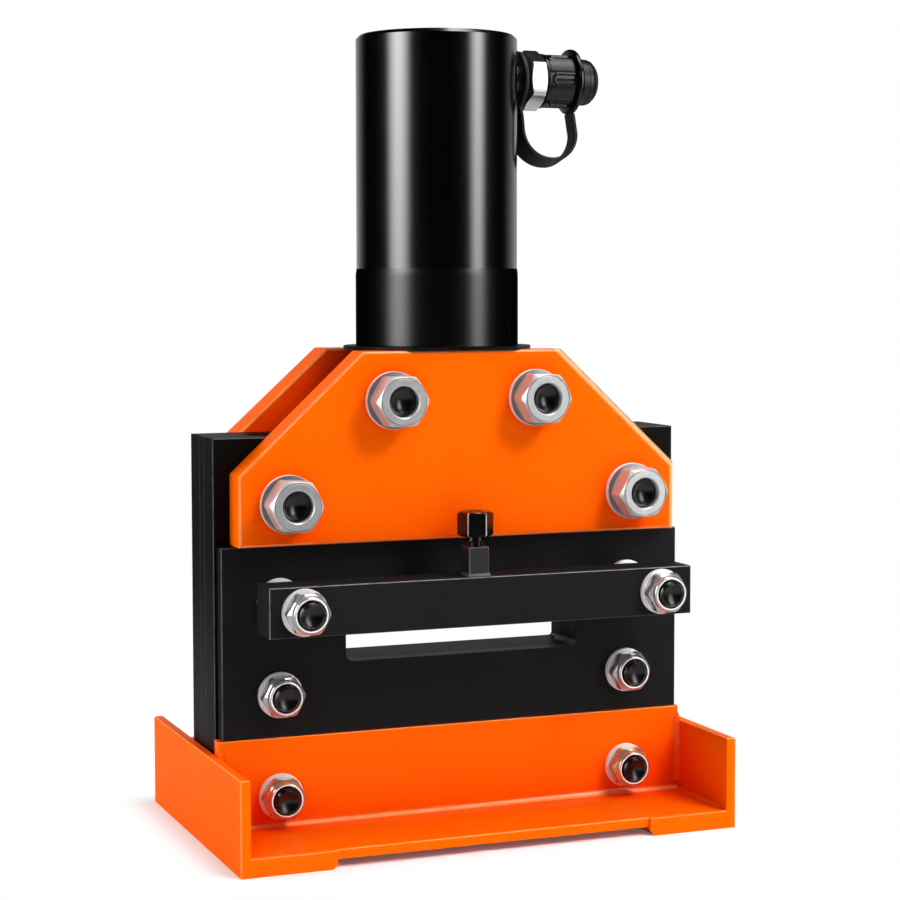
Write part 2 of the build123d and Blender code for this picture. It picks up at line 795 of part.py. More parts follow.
piston_rings = (
    ("piston_seal", piston_seal_top - piston_seal_height, piston_seal_height, piston_seal_depth),
    ("piston_wear_ring", wear_ring_bottom, wear_ring_height, wear_ring_depth),
)
for ring, level, height, depth in piston_rings:
    with BuildPart() as piston_ring:
        with BuildSketch(Plane.XY.offset(level)):
            Circle(piston_radius)
            Circle(piston_radius - depth + thread_gap, mode=Mode.SUBTRACT)
        extrude(amount=height)
    piston_ring.part.label = ring
    export_step(piston_ring.part, f"parts/{ring}.step")

# Ram: a rod with a forked lower end for the blade's tongue and a spigot up into the piston
with BuildPart() as ram:
    with BuildSketch(Plane.XY.offset(ram_end)):
        Circle(ram_radius)
    extrude(amount=piston_bottom - ram_end)
    with BuildSketch(Plane.XY.offset(piston_bottom)):
        Circle(ram_spigot_radius)
    extrude(amount=ram_spigot_height)
    with BuildSketch(Plane.XY.offset(ram_end)):
        Rectangle(2 * ram_radius, blade_gap)
    extrude(amount=clevis_depth, mode=Mode.SUBTRACT)
    with BuildSketch(facing(ram_radius)):
        with Locations((0, blade_pin_level)):
            Circle(blade_pin_radius + running_fit)
    extrude(amount=2 * ram_radius, mode=Mode.SUBTRACT)
ram.part.label = "ram_rod"
export_step(ram.part, "parts/ram_rod.step")

# Return spring under the piston, standing on the collar's nose
spring_low = nose_top + spring_wire_radius + seat_gap
spring_rise = piston_bottom - seat_gap - spring_wire_radius - spring_low
with BuildPart() as return_spring:
    with BuildLine() as coil:
        Helix(spring_rise / spring_turns, spring_rise, spring_radius, center=(0, 0, spring_low))
    with BuildSketch(Plane(origin=coil.line @ 0, z_dir=coil.line % 0)):
        Circle(spring_wire_radius)
    sweep(path=coil.line)
return_spring.part.label = "return_spring"
export_step(return_spring.part, "parts/return_spring.step")

# Oil coupler: a hexagon adapter screwed into the barrel, and a sleeve with a sprung poppet
neck_start = cylinder_radius + neck_start_gap
chamber_low = coupler_hex_start + chamber_wall
port_axis = Axis((0, 0, port_level), (1, 0, 0))
with BuildPart() as coupler:
    with BuildSketch(along_port(coupler_hex_start)):
        RegularPolygon(coupler_hex_flats / 2, hex_sides, major_radius=False, rotation=right_angle)
    extrude(amount=coupler_hex_length)
    with BuildSketch(Plane.XZ):
        with BuildLine():
            blank = coupler_hex_flats * hex_blank_ratio
            cone = (blank - coupler_hex_crown) * coupler_hex_slope
            crown_level = port_level + coupler_hex_crown
            blank_level = port_level + blank
            Polyline((coupler_hex_start, port_level), (coupler_hex_start, crown_level),
                     (coupler_hex_start + cone, blank_level), (hex_end - cone, blank_level),
                     (hex_end, crown_level), (hex_end, port_level), close=True)
        make_face()
    revolve(axis=port_axis, mode=Mode.INTERSECT)
    with BuildSketch(along_port(cylinder_radius - nipple_engagement)):
        Circle(port_radius - thread_gap)
    extrude(amount=nipple_engagement + neck_start_gap)
    with BuildSketch(along_port(neck_start)):
        Circle(neck_radius)
    extrude(amount=coupler_hex_start - neck_start)
    with BuildSketch(along_port(hex_end)):
        Circle(spigot_thread_radius)
    extrude(amount=spigot_thread_length)
    with BuildSketch(along_port(0)):
        Circle(oil_bore_radius)
    extrude(amount=hex_end, mode=Mode.SUBTRACT)
    with BuildSketch(along_port(chamber_low)):
        Circle(chamber_radius)
    extrude(amount=hex_end + spigot_thread_length - chamber_low, mode=Mode.SUBTRACT)
coupler.part.label = "coupler_adapter"
export_step(coupler.part, "parts/coupler_adapter.step")

with BuildPart() as sleeve:
    with BuildSketch(along_port(hex_end)):
        Circle(sleeve_radius)
    extrude(amount=sleeve_length)
    with BuildSketch(along_port(hex_end)):
        Circle(spigot_thread_radius + thread_gap)
    extrude(amount=spigot_thread_length, mode=Mode.SUBTRACT)
    with BuildSketch(along_port(hex_end)):
        Circle(chamber_radius)
    extrude(amount=sleeve_length - mouth_length, mode=Mode.SUBTRACT)
    with BuildSketch(along_port(hex_end)):
        Circle(mouth_radius)
    extrude(amount=sleeve_length, mode=Mode.SUBTRACT)
sleeve.part.label = "coupler_sleeve"
export_step(sleeve.part, "parts/coupler_sleeve.step")

poppet_seat = sleeve_end - mouth_length - running_fit
poppet_back = poppet_seat - poppet_head_length
with BuildPart() as poppet:
    with BuildSketch(along_port(poppet_back)):
        Circle(chamber_radius - poppet_gap)
    extrude(amount=poppet_head_length)
    with BuildSketch(along_port(poppet_seat)):
        Circle(mouth_radius - poppet_gap)
    extrude(amount=mouth_length)
poppet.part.label = "coupler_poppet"
export_step(poppet.part, "parts/coupler_poppet.step")

valve_low = chamber_low + valve_wire_radius + running_fit
valve_rise = poppet_back - valve_wire_radius - running_fit - valve_low
with BuildPart() as valve_spring:
    with BuildLine() as valve_coil:
        Helix(valve_rise / valve_spring_turns, valve_rise, valve_spring_radius,
              center=(valve_low, 0, port_level), direction=(1, 0, 0))
    with BuildSketch(Plane(origin=valve_coil.line @ 0, z_dir=valve_coil.line % 0)):
        Circle(valve_wire_radius)
    sweep(path=valve_coil.line)
valve_spring.part.label = "coupler_spring"
export_step(valve_spring.part, "parts/coupler_spring.step")

# Dust cap: a slotted skirt over the sleeve, a groove for the strap's end and a domed knob
with BuildPart() as dust_cap:
    with BuildSketch(Plane.XZ):
        with BuildLine():
            knob_start = cap_lip_start + cap_lip_thickness
            knob_end = knob_start + knob_length
            inner = port_level + cap_inner
            outer = port_level + cap_outer
            neck = port_level + cap_neck_radius
            lip = port_level + cap_lip_radius
            knob = port_level + knob_radius
            outline = Polyline((cap_face, port_level), (cap_face, inner), (cap_start, inner),
                               (cap_start, outer), (cap_end, outer), (cap_end, neck),
                               (cap_lip_start, neck), (cap_lip_start, lip), (knob_start, lip),
                               (knob_start, knob), (knob_end - knob_dome_radius, knob))
            dome = TangentArc(outline @ 1, (knob_end, knob - knob_dome_radius), tangent=(1, 0))
            Polyline(dome @ 1, (knob_end, port_level), outline @ 0)
        make_face()
    revolve(axis=port_axis)
    with Locations(along_port(cap_end - cap_slot_length / 2)):
        with PolarLocations(cap_outer, cap_slot_count):
            Box(2 * cap_slot_depth, cap_slot_width, cap_slot_length, mode=Mode.SUBTRACT)
dust_cap.part.label = "dust_cap"
export_step(dust_cap.part, "parts/dust_cap.step")

# Strap of the cap: a ring on the coupler's neck, a ring in the cap's groove and a band between them
ring_start = (neck_start + coupler_hex_start - strap_ring_thickness) / 2
ring_middle = ring_start + strap_ring_thickness / 2
end_start = cap_end + strap_ring_gap
end_middle = end_start + strap_ring_thickness / 2
with BuildPart() as strap_end:
    with BuildSketch(along_port(end_start)):
        Circle(strap_end_radius)
        Circle(cap_neck_radius + strap_ring_gap, mode=Mode.SUBTRACT)
    extrude(amount=strap_ring_thickness)
strap_end.part.label = "strap_end_ring"
export_step(strap_end.part, "parts/strap_end_ring.step")

strap_low = port_level - strap_drop
strap_right = end_middle + strap_bulge
right_bend = strap_right - ring_middle - strap_left_bend
end_low = port_level - strap_end_radius - strap_ring_gap
ring_wall_middle = port_level - (strap_ring_radius + neck_radius) / 2
with BuildPart() as strap:
    with BuildSketch(along_port(ring_start)):
        Circle(strap_ring_radius)
        Circle(neck_radius + strap_ring_gap, mode=Mode.SUBTRACT)
    extrude(amount=strap_ring_thickness)
    with BuildSketch(facing(strap_width / 2)):
        with BuildLine():
            fall = Line((ring_middle, ring_wall_middle), (ring_middle, strap_low + strap_left_bend))
            left_bend = JernArc(fall @ 1, fall % 1, strap_left_bend, right_angle)
            rise = JernArc(left_bend @ 1, left_bend % 1, right_bend, right_angle)
            Line(rise @ 1, (end_middle, end_low))
        trace(line_width=strap_thickness)
    extrude(amount=strap_width)
strap.part.label = "dust_cap_strap"
export_step(strap.part, "parts/dust_cap_strap.step")
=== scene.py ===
import math
import random

import bpy
from mathutils import Matrix, Vector, noise


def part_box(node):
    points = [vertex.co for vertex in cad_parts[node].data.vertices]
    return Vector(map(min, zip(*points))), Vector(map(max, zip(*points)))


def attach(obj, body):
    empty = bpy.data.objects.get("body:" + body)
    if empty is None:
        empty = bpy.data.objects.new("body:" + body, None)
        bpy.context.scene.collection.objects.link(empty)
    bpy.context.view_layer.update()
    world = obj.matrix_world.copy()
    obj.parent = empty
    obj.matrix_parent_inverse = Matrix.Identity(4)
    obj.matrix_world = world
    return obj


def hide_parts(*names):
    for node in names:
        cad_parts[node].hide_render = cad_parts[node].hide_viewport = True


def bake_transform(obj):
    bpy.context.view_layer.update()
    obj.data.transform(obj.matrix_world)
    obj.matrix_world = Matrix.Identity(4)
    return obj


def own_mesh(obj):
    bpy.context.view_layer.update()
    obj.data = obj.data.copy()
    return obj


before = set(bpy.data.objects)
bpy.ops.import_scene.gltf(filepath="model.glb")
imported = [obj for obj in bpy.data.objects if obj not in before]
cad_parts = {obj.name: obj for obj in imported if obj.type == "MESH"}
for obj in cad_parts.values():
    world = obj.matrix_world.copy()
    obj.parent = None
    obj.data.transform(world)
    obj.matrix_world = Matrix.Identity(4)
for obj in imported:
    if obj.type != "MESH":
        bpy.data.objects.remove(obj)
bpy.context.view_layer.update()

# Studio: white paper under the machine, two tall softboxes that draw the bright strips on the barrel, a lamp
# each from the right, the left rear and overhead, and a grey backdrop that only gloss shows. The camera
# stands where the photograph was taken.
scene = bpy.context.scene
scene.view_settings.view_transform = "Standard"
mm = 0.001


class Wire:
    """A socket of a node tree: arithmetic on it adds Math nodes, and make() adds any other node."""

    def __init__(self, tree, socket=None):
        self.tree = tree
        self.socket = socket

    def make(self, kind, settings=(), sockets=(), out=0):
        node = self.tree.nodes.new("ShaderNode" + kind)
        for name, value in dict(settings).items():
            setattr(node, name, value)
        for name, value in dict(sockets).items():
            self.put(value, node.inputs[name])
        return Wire(self.tree, node.outputs[out])

    def put(self, value, target):
        if isinstance(value, Wire):
            self.tree.links.new(value.socket, target)
        else:
            target.default_value = value

    def other(self, out):
        return Wire(self.tree, self.socket.node.outputs[out])

    def math(self, operation, first, second):
        return self.make("Math", {"operation": operation}, {0: first, 1: second})

    def __add__(self, value):
        return self.math("ADD", self, value)

    __radd__ = __add__

    def __sub__(self, value):
        return self.math("SUBTRACT", self, value)

    def __rsub__(self, value):
        return self.math("SUBTRACT", value, self)

    def __mul__(self, value):
        return self.math("MULTIPLY", self, value)

    __rmul__ = __mul__

    def __truediv__(self, value):
        return self.math("DIVIDE", self, value)

    def __rtruediv__(self, value):
        return self.math("DIVIDE", value, self)

    def __pow__(self, value):
        return self.math("POWER", self, value)

    def __abs__(self):
        return self.math("ABSOLUTE", self, 0)

    def axis(self, name):
        """One component of this vector; other() gives the rest."""
        return self.make("SeparateXYZ", (), {"Vector": self}, out=name)

    def ease(self, low, high, start=0.0, end=1.0):
        """A smooth step from start to end as this value goes from low to high."""
        limits = {"From Min": low, "From Max": high, "To Min": start, "To Max": end}
        return self.make("MapRange", {"interpolation_type": "SMOOTHSTEP"}, {"Value": self, **limits})


room_ambient = 0.4
room_dark = 0.002
backdrop_glow = 0.68
backdrop_heading = (0.454, 0.891, 0)
room = bpy.data.worlds.new("room")
room.use_nodes = True
scene.world = room
sky = room.node_tree.nodes["Background"]
to_camera = Wire(room.node_tree).make("LightPath", out="Is Camera Ray")
in_gloss = to_camera.other("Is Glossy Ray")
through_glass = to_camera.other("Is Transmission Ray")
to_gloss = to_camera.math("MAXIMUM", in_gloss, through_glass)
heading = to_camera.make("TexCoord", out="Generated")
toward = heading.make("VectorMath", {"operation": "DOT_PRODUCT"},
                      {0: heading, 1: backdrop_heading}, out="Value")
rise = heading.axis("Z")
backdrop = toward.ease(0.42, 0.95) * rise.ease(0.12, 0.5, 1.0, 0.0) * backdrop_glow + room_dark
indoors = to_gloss * backdrop + (1 - to_gloss) * room_ambient
to_camera.put(to_camera + (1 - to_camera) * indoors, sky.inputs["Strength"])
sky.inputs["Color"].default_value = (1, 1, 1, 1)
square_corners = ((-1, -1), (1, -1), (1, 1), (-1, 1))


def softbox(name, centre, aim, width, height, glow, shows=True, fills=True, edge=1.0):
    """A lit panel that faces a point and is hidden from the camera. It shows in gloss, fills the shadows
    or does both, and fades to its sides, faster with a larger edge."""
    half = (width / 2, height / 2)
    corners = [(x * half[0], y * half[1], 0) for x, y in square_corners]
    mesh = bpy.data.meshes.new(name)
    mesh.from_pydata(corners, [], [(0, 1, 2, 3)])
    panel = bpy.data.objects.new(name, mesh)
    scene.collection.objects.link(panel)
    facing = (Vector(aim) - Vector(centre)).to_track_quat("Z", "Y")
    panel.matrix_world = Matrix.Translation(centre) @ facing.to_matrix().to_4x4()
    panel.visible_camera = False
    panel.visible_glossy = shows
    panel.visible_diffuse = fills
    cloth = bpy.data.materials.new(name)
    cloth.use_nodes = True
    tree = cloth.node_tree
    tree.nodes.clear()
    grid = Wire(tree).make("TexCoord", out="Generated")
    split = grid.axis("X")
    across = split * 2 - 1
    along = split.other("Y") * 2 - 1
    fade = (1 - across * across) ** edge * along.ease(-0.5, 0.6, 0.55, 1.45)
    lamp = fade.make("Emission", (), {"Strength": fade * glow})
    out = tree.nodes.new("ShaderNodeOutputMaterial")
    tree.links.new(lamp.socket, out.inputs["Surface"])
    mesh.materials.append(cloth)


def around(azimuth, distance, level):
    """A point at an azimuth, counted from the front towards the right."""
    turn = math.radians(azimuth)
    return (distance * math.sin(turn), -distance * math.cos(turn), level)


middle = (0, 0, 0.3)
softbox("strip_left", around(-76, 1.3, 0.45), (0, 0, 0.45), width=1.0, height=1.5, glow=7.4, fills=False,
        edge=2.0)
softbox("strip_right", around(38, 1.4, 0.5), (0, 0, 0.5), width=0.76, height=1.5, glow=6.2, fills=False,
        edge=2.0)
softbox("key", around(32, 1.4, 1.25), middle, width=0.75, height=0.75, glow=28.0, shows=False)
softbox("side", around(-128, 1.4, 0.6), middle, width=1.0, height=1.0, glow=8.2, shows=False)
softbox("top", (0.45, -0.35, 1.5), middle, width=1.0, height=1.0, glow=5.0)

floor_reach = 4
floor_level = -0.2 * mm
floor_mesh = bpy.data.meshes.new("floor")
floor_corners = [(x * floor_reach, y * floor_reach, floor_level) for x, y in square_corners]
floor_mesh.from_pydata(floor_corners, [], [(0, 1, 2, 3)])
floor = bpy.data.objects.new("floor", floor_mesh)
scene.collection.objects.link(floor)
paper = bpy.data.materials.new("paper")
paper.use_nodes = True
paper.node_tree.nodes.clear()
spot = Wire(paper.node_tree).make("TexCoord", out="Object")
reach = spot.make("VectorMath", {"operation": "LENGTH"}, {0: spot}, out="Value")
seen = reach.make("LightPath", out="Is Camera Ray")
tray_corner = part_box("base_end_plate_right")[1]
spread = spot.axis("X")
past_side = spot.math("MAXIMUM", abs(spread.other("X")) - tray_corner.x, 0.0)
past_front = spot.math("MAXIMUM", abs(spread.other("Y")) - tray_corner.y, 0.0)
clear = (past_side ** 2 + past_front ** 2) ** 0.5
paper_lift = 0.05
paper_white = 0.93
paper_in_gloss = 0.45
white = clear.ease(-0.002, 0.024, paper_lift, 1.0) * seen
nearby = reach.ease(0.5, 1.2, paper_in_gloss, 0.04)
tone = paper_white - seen.other("Is Glossy Ray") * (paper_white - nearby)
matt = white.make("BsdfDiffuse", (), {"Color": tone})
glow = white.make("Emission", (), {"Strength": 1.0})
surface = white.make("MixShader", (), {0: white, 1: matt, 2: glow})
paper_out = paper.node_tree.nodes.new("ShaderNodeOutputMaterial")
paper.node_tree.links.new(surface.socket, paper_out.inputs["Surface"])
floor_mesh.materials.append(paper)

photo_width = 900
camera_place = Vector((-501.72, -1288.28, 342.23)) * mm
camera_yaw = 0.37736
camera_pitch = 0.06733
camera_roll = -0.00147
focal_pixels = 2169.03
centre_lift = 20.5
camera_data = bpy.data.cameras.new("camera")
camera_data.sensor_width = 36
camera_data.lens = camera_data.sensor_width * focal_pixels / photo_width
camera_data.shift_y = -centre_lift / photo_width
camera_data.clip_start = 0.05
camera = bpy.data.objects.new("camera", camera_data)
scene.collection.objects.link(camera)
ahead = Vector((math.sin(camera_yaw) * math.cos(camera_pitch), math.cos(camera_yaw) * math.cos(camera_pitch),
                -math.sin(camera_pitch)))
rightward = Vector((math.cos(camera_yaw), -math.sin(camera_yaw), 0))
upward = rightward.cross(ahead)
turned = Matrix((rightward, upward, -ahead)).transposed() @ Matrix.Rotation(camera_roll, 3, "Z")
camera.matrix_world = Matrix.Translation(camera_place) @ turned.to_4x4()
scene.camera = camera

# Tray: two bent steel angles, two end plates and two feet, welded and sprayed in glossy orange.
# The welds in the corners between the webs and the end plates run under the paint, and the rear web's
# upper corners are snipped off.
def finish(name):
    """A new material, its shader and its place in the part's own frame, in metres."""
    material = bpy.data.materials.new(name)
    material.use_nodes = True
    shader = material.node_tree.nodes["Principled BSDF"]
    return material, shader.inputs, Wire(material.node_tree).make("TexCoord", out="Object")


def grain(place, scale, detail=3, squeeze=(1, 1, 1)):
    """Even noise from 0 to 1; squeeze stretches it along an axis."""
    stretched = place.make("VectorMath", {"operation": "MULTIPLY"}, {0: place, 1: squeeze})
    return place.make("TexNoise", (), {"Vector": stretched, "Scale": scale, "Detail": detail}, out="Fac")


def tint(place, share, first, second):
    """A colour between two, by a share from 0 to 1; either colour may be a wire."""
    mixed = place.make("Mix", {"data_type": "RGBA"})
    ends = [colour if isinstance(colour, Wire) else (*colour, 1) for colour in (first, second)]
    for socket, value in zip((0, 6, 7), (share, *ends)):
        place.put(value, mixed.socket.node.inputs[socket])
    return Wire(place.tree, mixed.socket.node.outputs[2])


def relief(place, height, depth, strength=1.0):
    """A bump of a given depth in metres."""
    return place.make("Bump", (), {"Height": height, "Distance": depth, "Strength": strength}, out="Normal")


def edges(place, axis=""):
    """1 on rounded and broken edges: those of a face across the axis, or of any face square to the frame."""
    normal = place.make("NewGeometry", out="Normal")
    split = normal.axis("X")
    size = {name: abs(split.other(name)) for name in "XYZ"}
    if axis:
        return size[axis].ease(0.12, 0.4) * size[axis].ease(0.92, 0.99, 1.0, 0.0)
    most = place.math("MAXIMUM", size["X"], place.math("MAXIMUM", size["Y"], size["Z"]))
    return most.ease(0.82, 0.97, 1.0, 0.0)


def sharp_edge_line(place, *planes):
    """1 along a sharp edge, where two faces meet; each is an axis and its distance from the middle."""
    spot = place.axis("X")
    marks = []
    for name, far in planes:
        off = abs(spot.other(name))
        marks.append(off.ease(far - 0.9 * mm, far - 0.4 * mm))
    return marks[0] * marks[1]


def paint(name, axis, sheen, edge_highlight_level=0.7, corner_shade=(0.25, 0.75), edge_face_highlight_depth=0.0, sharp_edge=(), bend=0.0,
          edge_gloss=False, rim=None):
    """Glossy orange: slight orange peel and a few dust nibs. Edges are painted a lighter orange as a painted
    highlight, and where ambient occlusion finds a corner the colour turns a darker red as painted shade. Edge
    faces that stand this far from the middle get a lighter, yellower orange, also a painted highlight. It has
    set to a thick gloss in bends of this radius or on the rounded edges. A rim is a function that gives how
    far a place is past the start of a rounded edge; a painted highlight band and then a painted shadow line
    run along it."""
    material, sockets, place = finish(name)
    cloud = grain(place, 18)
    peel = grain(place, 620, 2)
    dust = grain(place, 2600, 1).ease(0.7, 0.78)
    # Painted shade: where ambient occlusion finds a corner the colour turns a darker red; faces that look
    # outward are left out.
    unshaded = place.make("AmbientOcclusion", {"samples": 8}, {"Distance": 60 * mm}, out="AO").ease(*corner_shade)
    sideways = place.make("NewGeometry", out="Normal").axis("X")
    outward = sideways * place.axis("X")
    unshaded = place.math("MAXIMUM", unshaded, outward.ease(0.02, 0.1))
    sprayed = tint(place, cloud, (0.95, 0.115, 0.0004), (0.97, 0.133, 0.0006))
    body = tint(place, unshaded, (0.9, 0.05, 0.0002), sprayed)
    # Painted highlight: edge faces this far from the middle get a lighter, yellower orange.
    if edge_face_highlight_depth:
        depth = abs(place.axis("Y"))
        body = tint(place, depth.ease(edge_face_highlight_depth - 0.4 * mm, edge_face_highlight_depth - 0.1 * mm), body, (0.98, 0.14, 0.0006))
    # Painted highlight: rounded edges and the listed sharp edges get a lighter orange, broken up by noise.
    edge = edges(place, axis)
    if sharp_edge:
        edge = place.math("MAXIMUM", edge, sharp_edge_line(place, *sharp_edge))
    painted_edge_highlight = edge * grain(place, 160).ease(0.2, 0.6, 0.5, 1.0) * edge_highlight_level
    body = tint(place, painted_edge_highlight, body, (1.0, 0.36, 0.1))
    # Painted highlight and painted shadow: a light band along the rounded edge, then a dark line just past
    # it.
    if rim:
        past = rim(place)
        body = tint(place, past.ease(-2.6 * mm, -0.8 * mm, 0.0, 0.8), body, (1.0, 0.5, 0.25))
        body = tint(place, past.ease(0.4 * mm, 0.9 * mm, 0.0, 0.8), body, (0.5, 0.16, 0.04))
    place.put(body, sockets["Base Color"])
    place.put(0.13 + cloud * 0.06 + dust * 0.12, sockets["Roughness"])
    place.put(relief(place, peel + dust * 0.4, 0.05 * mm, 0.3), sockets["Normal"])
    sockets["Specular IOR Level"].default_value = sheen
    sockets["Coat Roughness"].default_value = 0.12
    if edge_gloss:
        place.put(edges(place, axis), sockets["Coat Weight"])
    if bend:
        spot = place.axis("X")
        off_middle = abs(spot.other("Y"))
        from_web = off_middle.ease(web_front + bend * 0.8, web_front + bend, 1.0, 0.0)
        from_floor = spot.other("Z").ease(floor_top + bend * 0.8, floor_top + bend, 1.0, 0.0)
        place.put(from_web * from_floor, sockets["Coat Weight"])
    return material


floor_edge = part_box("base_front_angle")[0].y
floor_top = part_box("base_foot_left")[1].z
lip_edge = (("Y", tray_corner.y), ("Z", floor_top))
end_edge = (("X", tray_corner.x), ("Y", tray_corner.y))
web_front = 35 * mm
bend = 4 * mm
tray_paint = paint("tray_paint", "", sheen=0.02, edge_face_highlight_depth=-floor_edge, sharp_edge=lip_edge, bend=bend)
end_paint = paint("end_paint", "", sheen=0.006, edge_face_highlight_depth=-floor_edge, sharp_edge=end_edge)
weld_paint = paint("weld_paint", "", sheen=0.2, edge_highlight_level=0.0)


def coat(material, *nodes):
    """Gives CAD nodes a finish."""
    for node in nodes:
        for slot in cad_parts[node].material_slots:
            slot.material = material


coat(tray_paint, "base_front_angle", "base_foot_left", "base_foot_right")
coat(end_paint, "base_end_plate_left", "base_end_plate_right")


def shell(loops, closed=False):
    """Points and faces over a row of loops of equal length, capped at both ends unless closed."""
    count = len(loops[0])
    points = [Vector(p) for loop in loops for p in loop]
    faces = []
    for i in range(len(loops) - (not closed)):
        low = i * count
        high = (i + 1) % len(loops) * count
        for j in range(count):
            k = (j + 1) % count
            faces.append((low + j, low + k, high + k, high + j))
    if not closed:
        faces.append(tuple(reversed(range(count))))
        faces.append(tuple(range(len(points) - count, len(points))))
    return points, faces


def placed(part, matrix):
    """A shell moved to its place."""
    return [matrix @ p for p in part[0]], part[1]


def piece(name, shells, material, body, nodes=(), sharp=35):
    """One object from several shells, with a finish, a body to ride on and the nodes that it
    replaces; edges sharper than an angle stay sharp."""
    points = []
    faces = []
    for part in shells:
        start = len(points)
        points += part[0]
        faces += [tuple(start + i for i in face) for face in part[1]]
    mesh = bpy.data.meshes.new(name)
    mesh.from_pydata(points, [], faces)
    mesh.validate()
    mesh.polygons.foreach_set("use_smooth", [True] * len(mesh.polygons))
    mesh.set_sharp_from_angle(angle=math.radians(sharp))
    mesh.materials.append(material)
    made = bpy.data.objects.new(name, mesh)
    scene.collection.objects.link(made)
    if nodes:
        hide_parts(*nodes)
    if body:
        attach(made, body)
    return made


def weld(start, end, first, second, leg, ripple, seed):
    """A lumpy fillet weld along a corner; first and second point along the two plates."""
    rng = random.Random(seed)
    start, end = Vector(start), Vector(end)
    first, second = Vector(first), Vector(second)
    run = (end - start).length
    steps = int(run / (ripple / 5))
    phase = rng.random()
    loops = []
    for i in range(steps + 1):
        t = i / steps
        swell = 1 + 0.05 * abs(math.sin(math.pi * (t * run / ripple + phase)))
        swell += 0.08 * noise.noise((t * run / ripple * 0.6, phase * 9, 0))
        taper = min(1, 0.5 + 10 * min(t, 1 - t))
        spine = start.lerp(end, t)
        size = leg * swell * taper
        loop = [spine - (first + second) * 0.2 * leg]
        for k in range(9):
            turn = k / 8 * math.pi / 2
            bulge = 1 - 0.2 * math.sin(2 * turn)
            loop.append(spine + (first * math.cos(turn) + second * math.sin(turn)) * size * bulge)
        loops.append(loop)
    return shell(loops)


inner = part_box("base_end_plate_right")[0].x
end_top = tray_corner.z
rear_low, rear_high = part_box("base_rear_angle")
web_top = rear_high.z
rounding = 1.2 * mm
snip = 6 * mm


def rear_section(x, top):
    """The rear angle's section at a place along it: the floor leg, the bend and the web up to a level."""
    outline = [(rear_low.y, rear_low.z), (rear_high.y, rear_low.z), (rear_high.y, floor_top - rounding),
               (rear_high.y - 0.3 * rounding, floor_top - 0.3 * rounding),
               (rear_high.y - rounding, floor_top)]
    for i in range(9):
        turn = math.pi / 2 * i / 8
        outline.append((web_front + bend * (1 - math.sin(turn)), floor_top + bend * (1 - math.cos(turn))))
    outline += [(web_front, top - rounding), (web_front - 0.3 * rounding, top - 0.3 * rounding),
                (web_front - rounding, top), (rear_low.y, top)]
    return [(x, y, z) for y, z in outline]


snip_low = end_top - mm
snipped = ((-inner, snip_low), (snip - inner, snip_low), (snip - inner, web_top), (inner - snip, web_top),
           (inner - snip, snip_low), (inner, snip_low))
rear_loops = [rear_section(x, top) for x, top in snipped]
piece("base_rear_angle_snipped", [shell(rear_loops)], tray_paint, "frame",
      ["base_rear_angle"])
upright_leg = 3 * mm
floor_leg = 1.5 * mm
beads = []
seed = 3
for side in (-1, 1):
    for depth in (-1, 1):
        corner = (side * inner, depth * web_front)
        out = (0, depth, 0)
        inward = (-side, 0, 0)
        low = (*corner, floor_top + 3 * mm)
        high = (*corner, end_top + (4 * mm if depth < 0 else -2 * mm))
        beads.append(weld(low, high, inward, out, upright_leg, 2.6 * mm, seed))
        near = (side * inner, depth * (web_front + 3 * mm), floor_top)
        far = (side * inner, depth * (-floor_edge - 3 * mm), floor_top)
        beads.append(weld(near, far, inward, (0, 0, 1), floor_leg, 3.4 * mm, seed + 1))
        seed += 2
piece("tray_welds", beads, weld_paint, "frame", sharp=60)

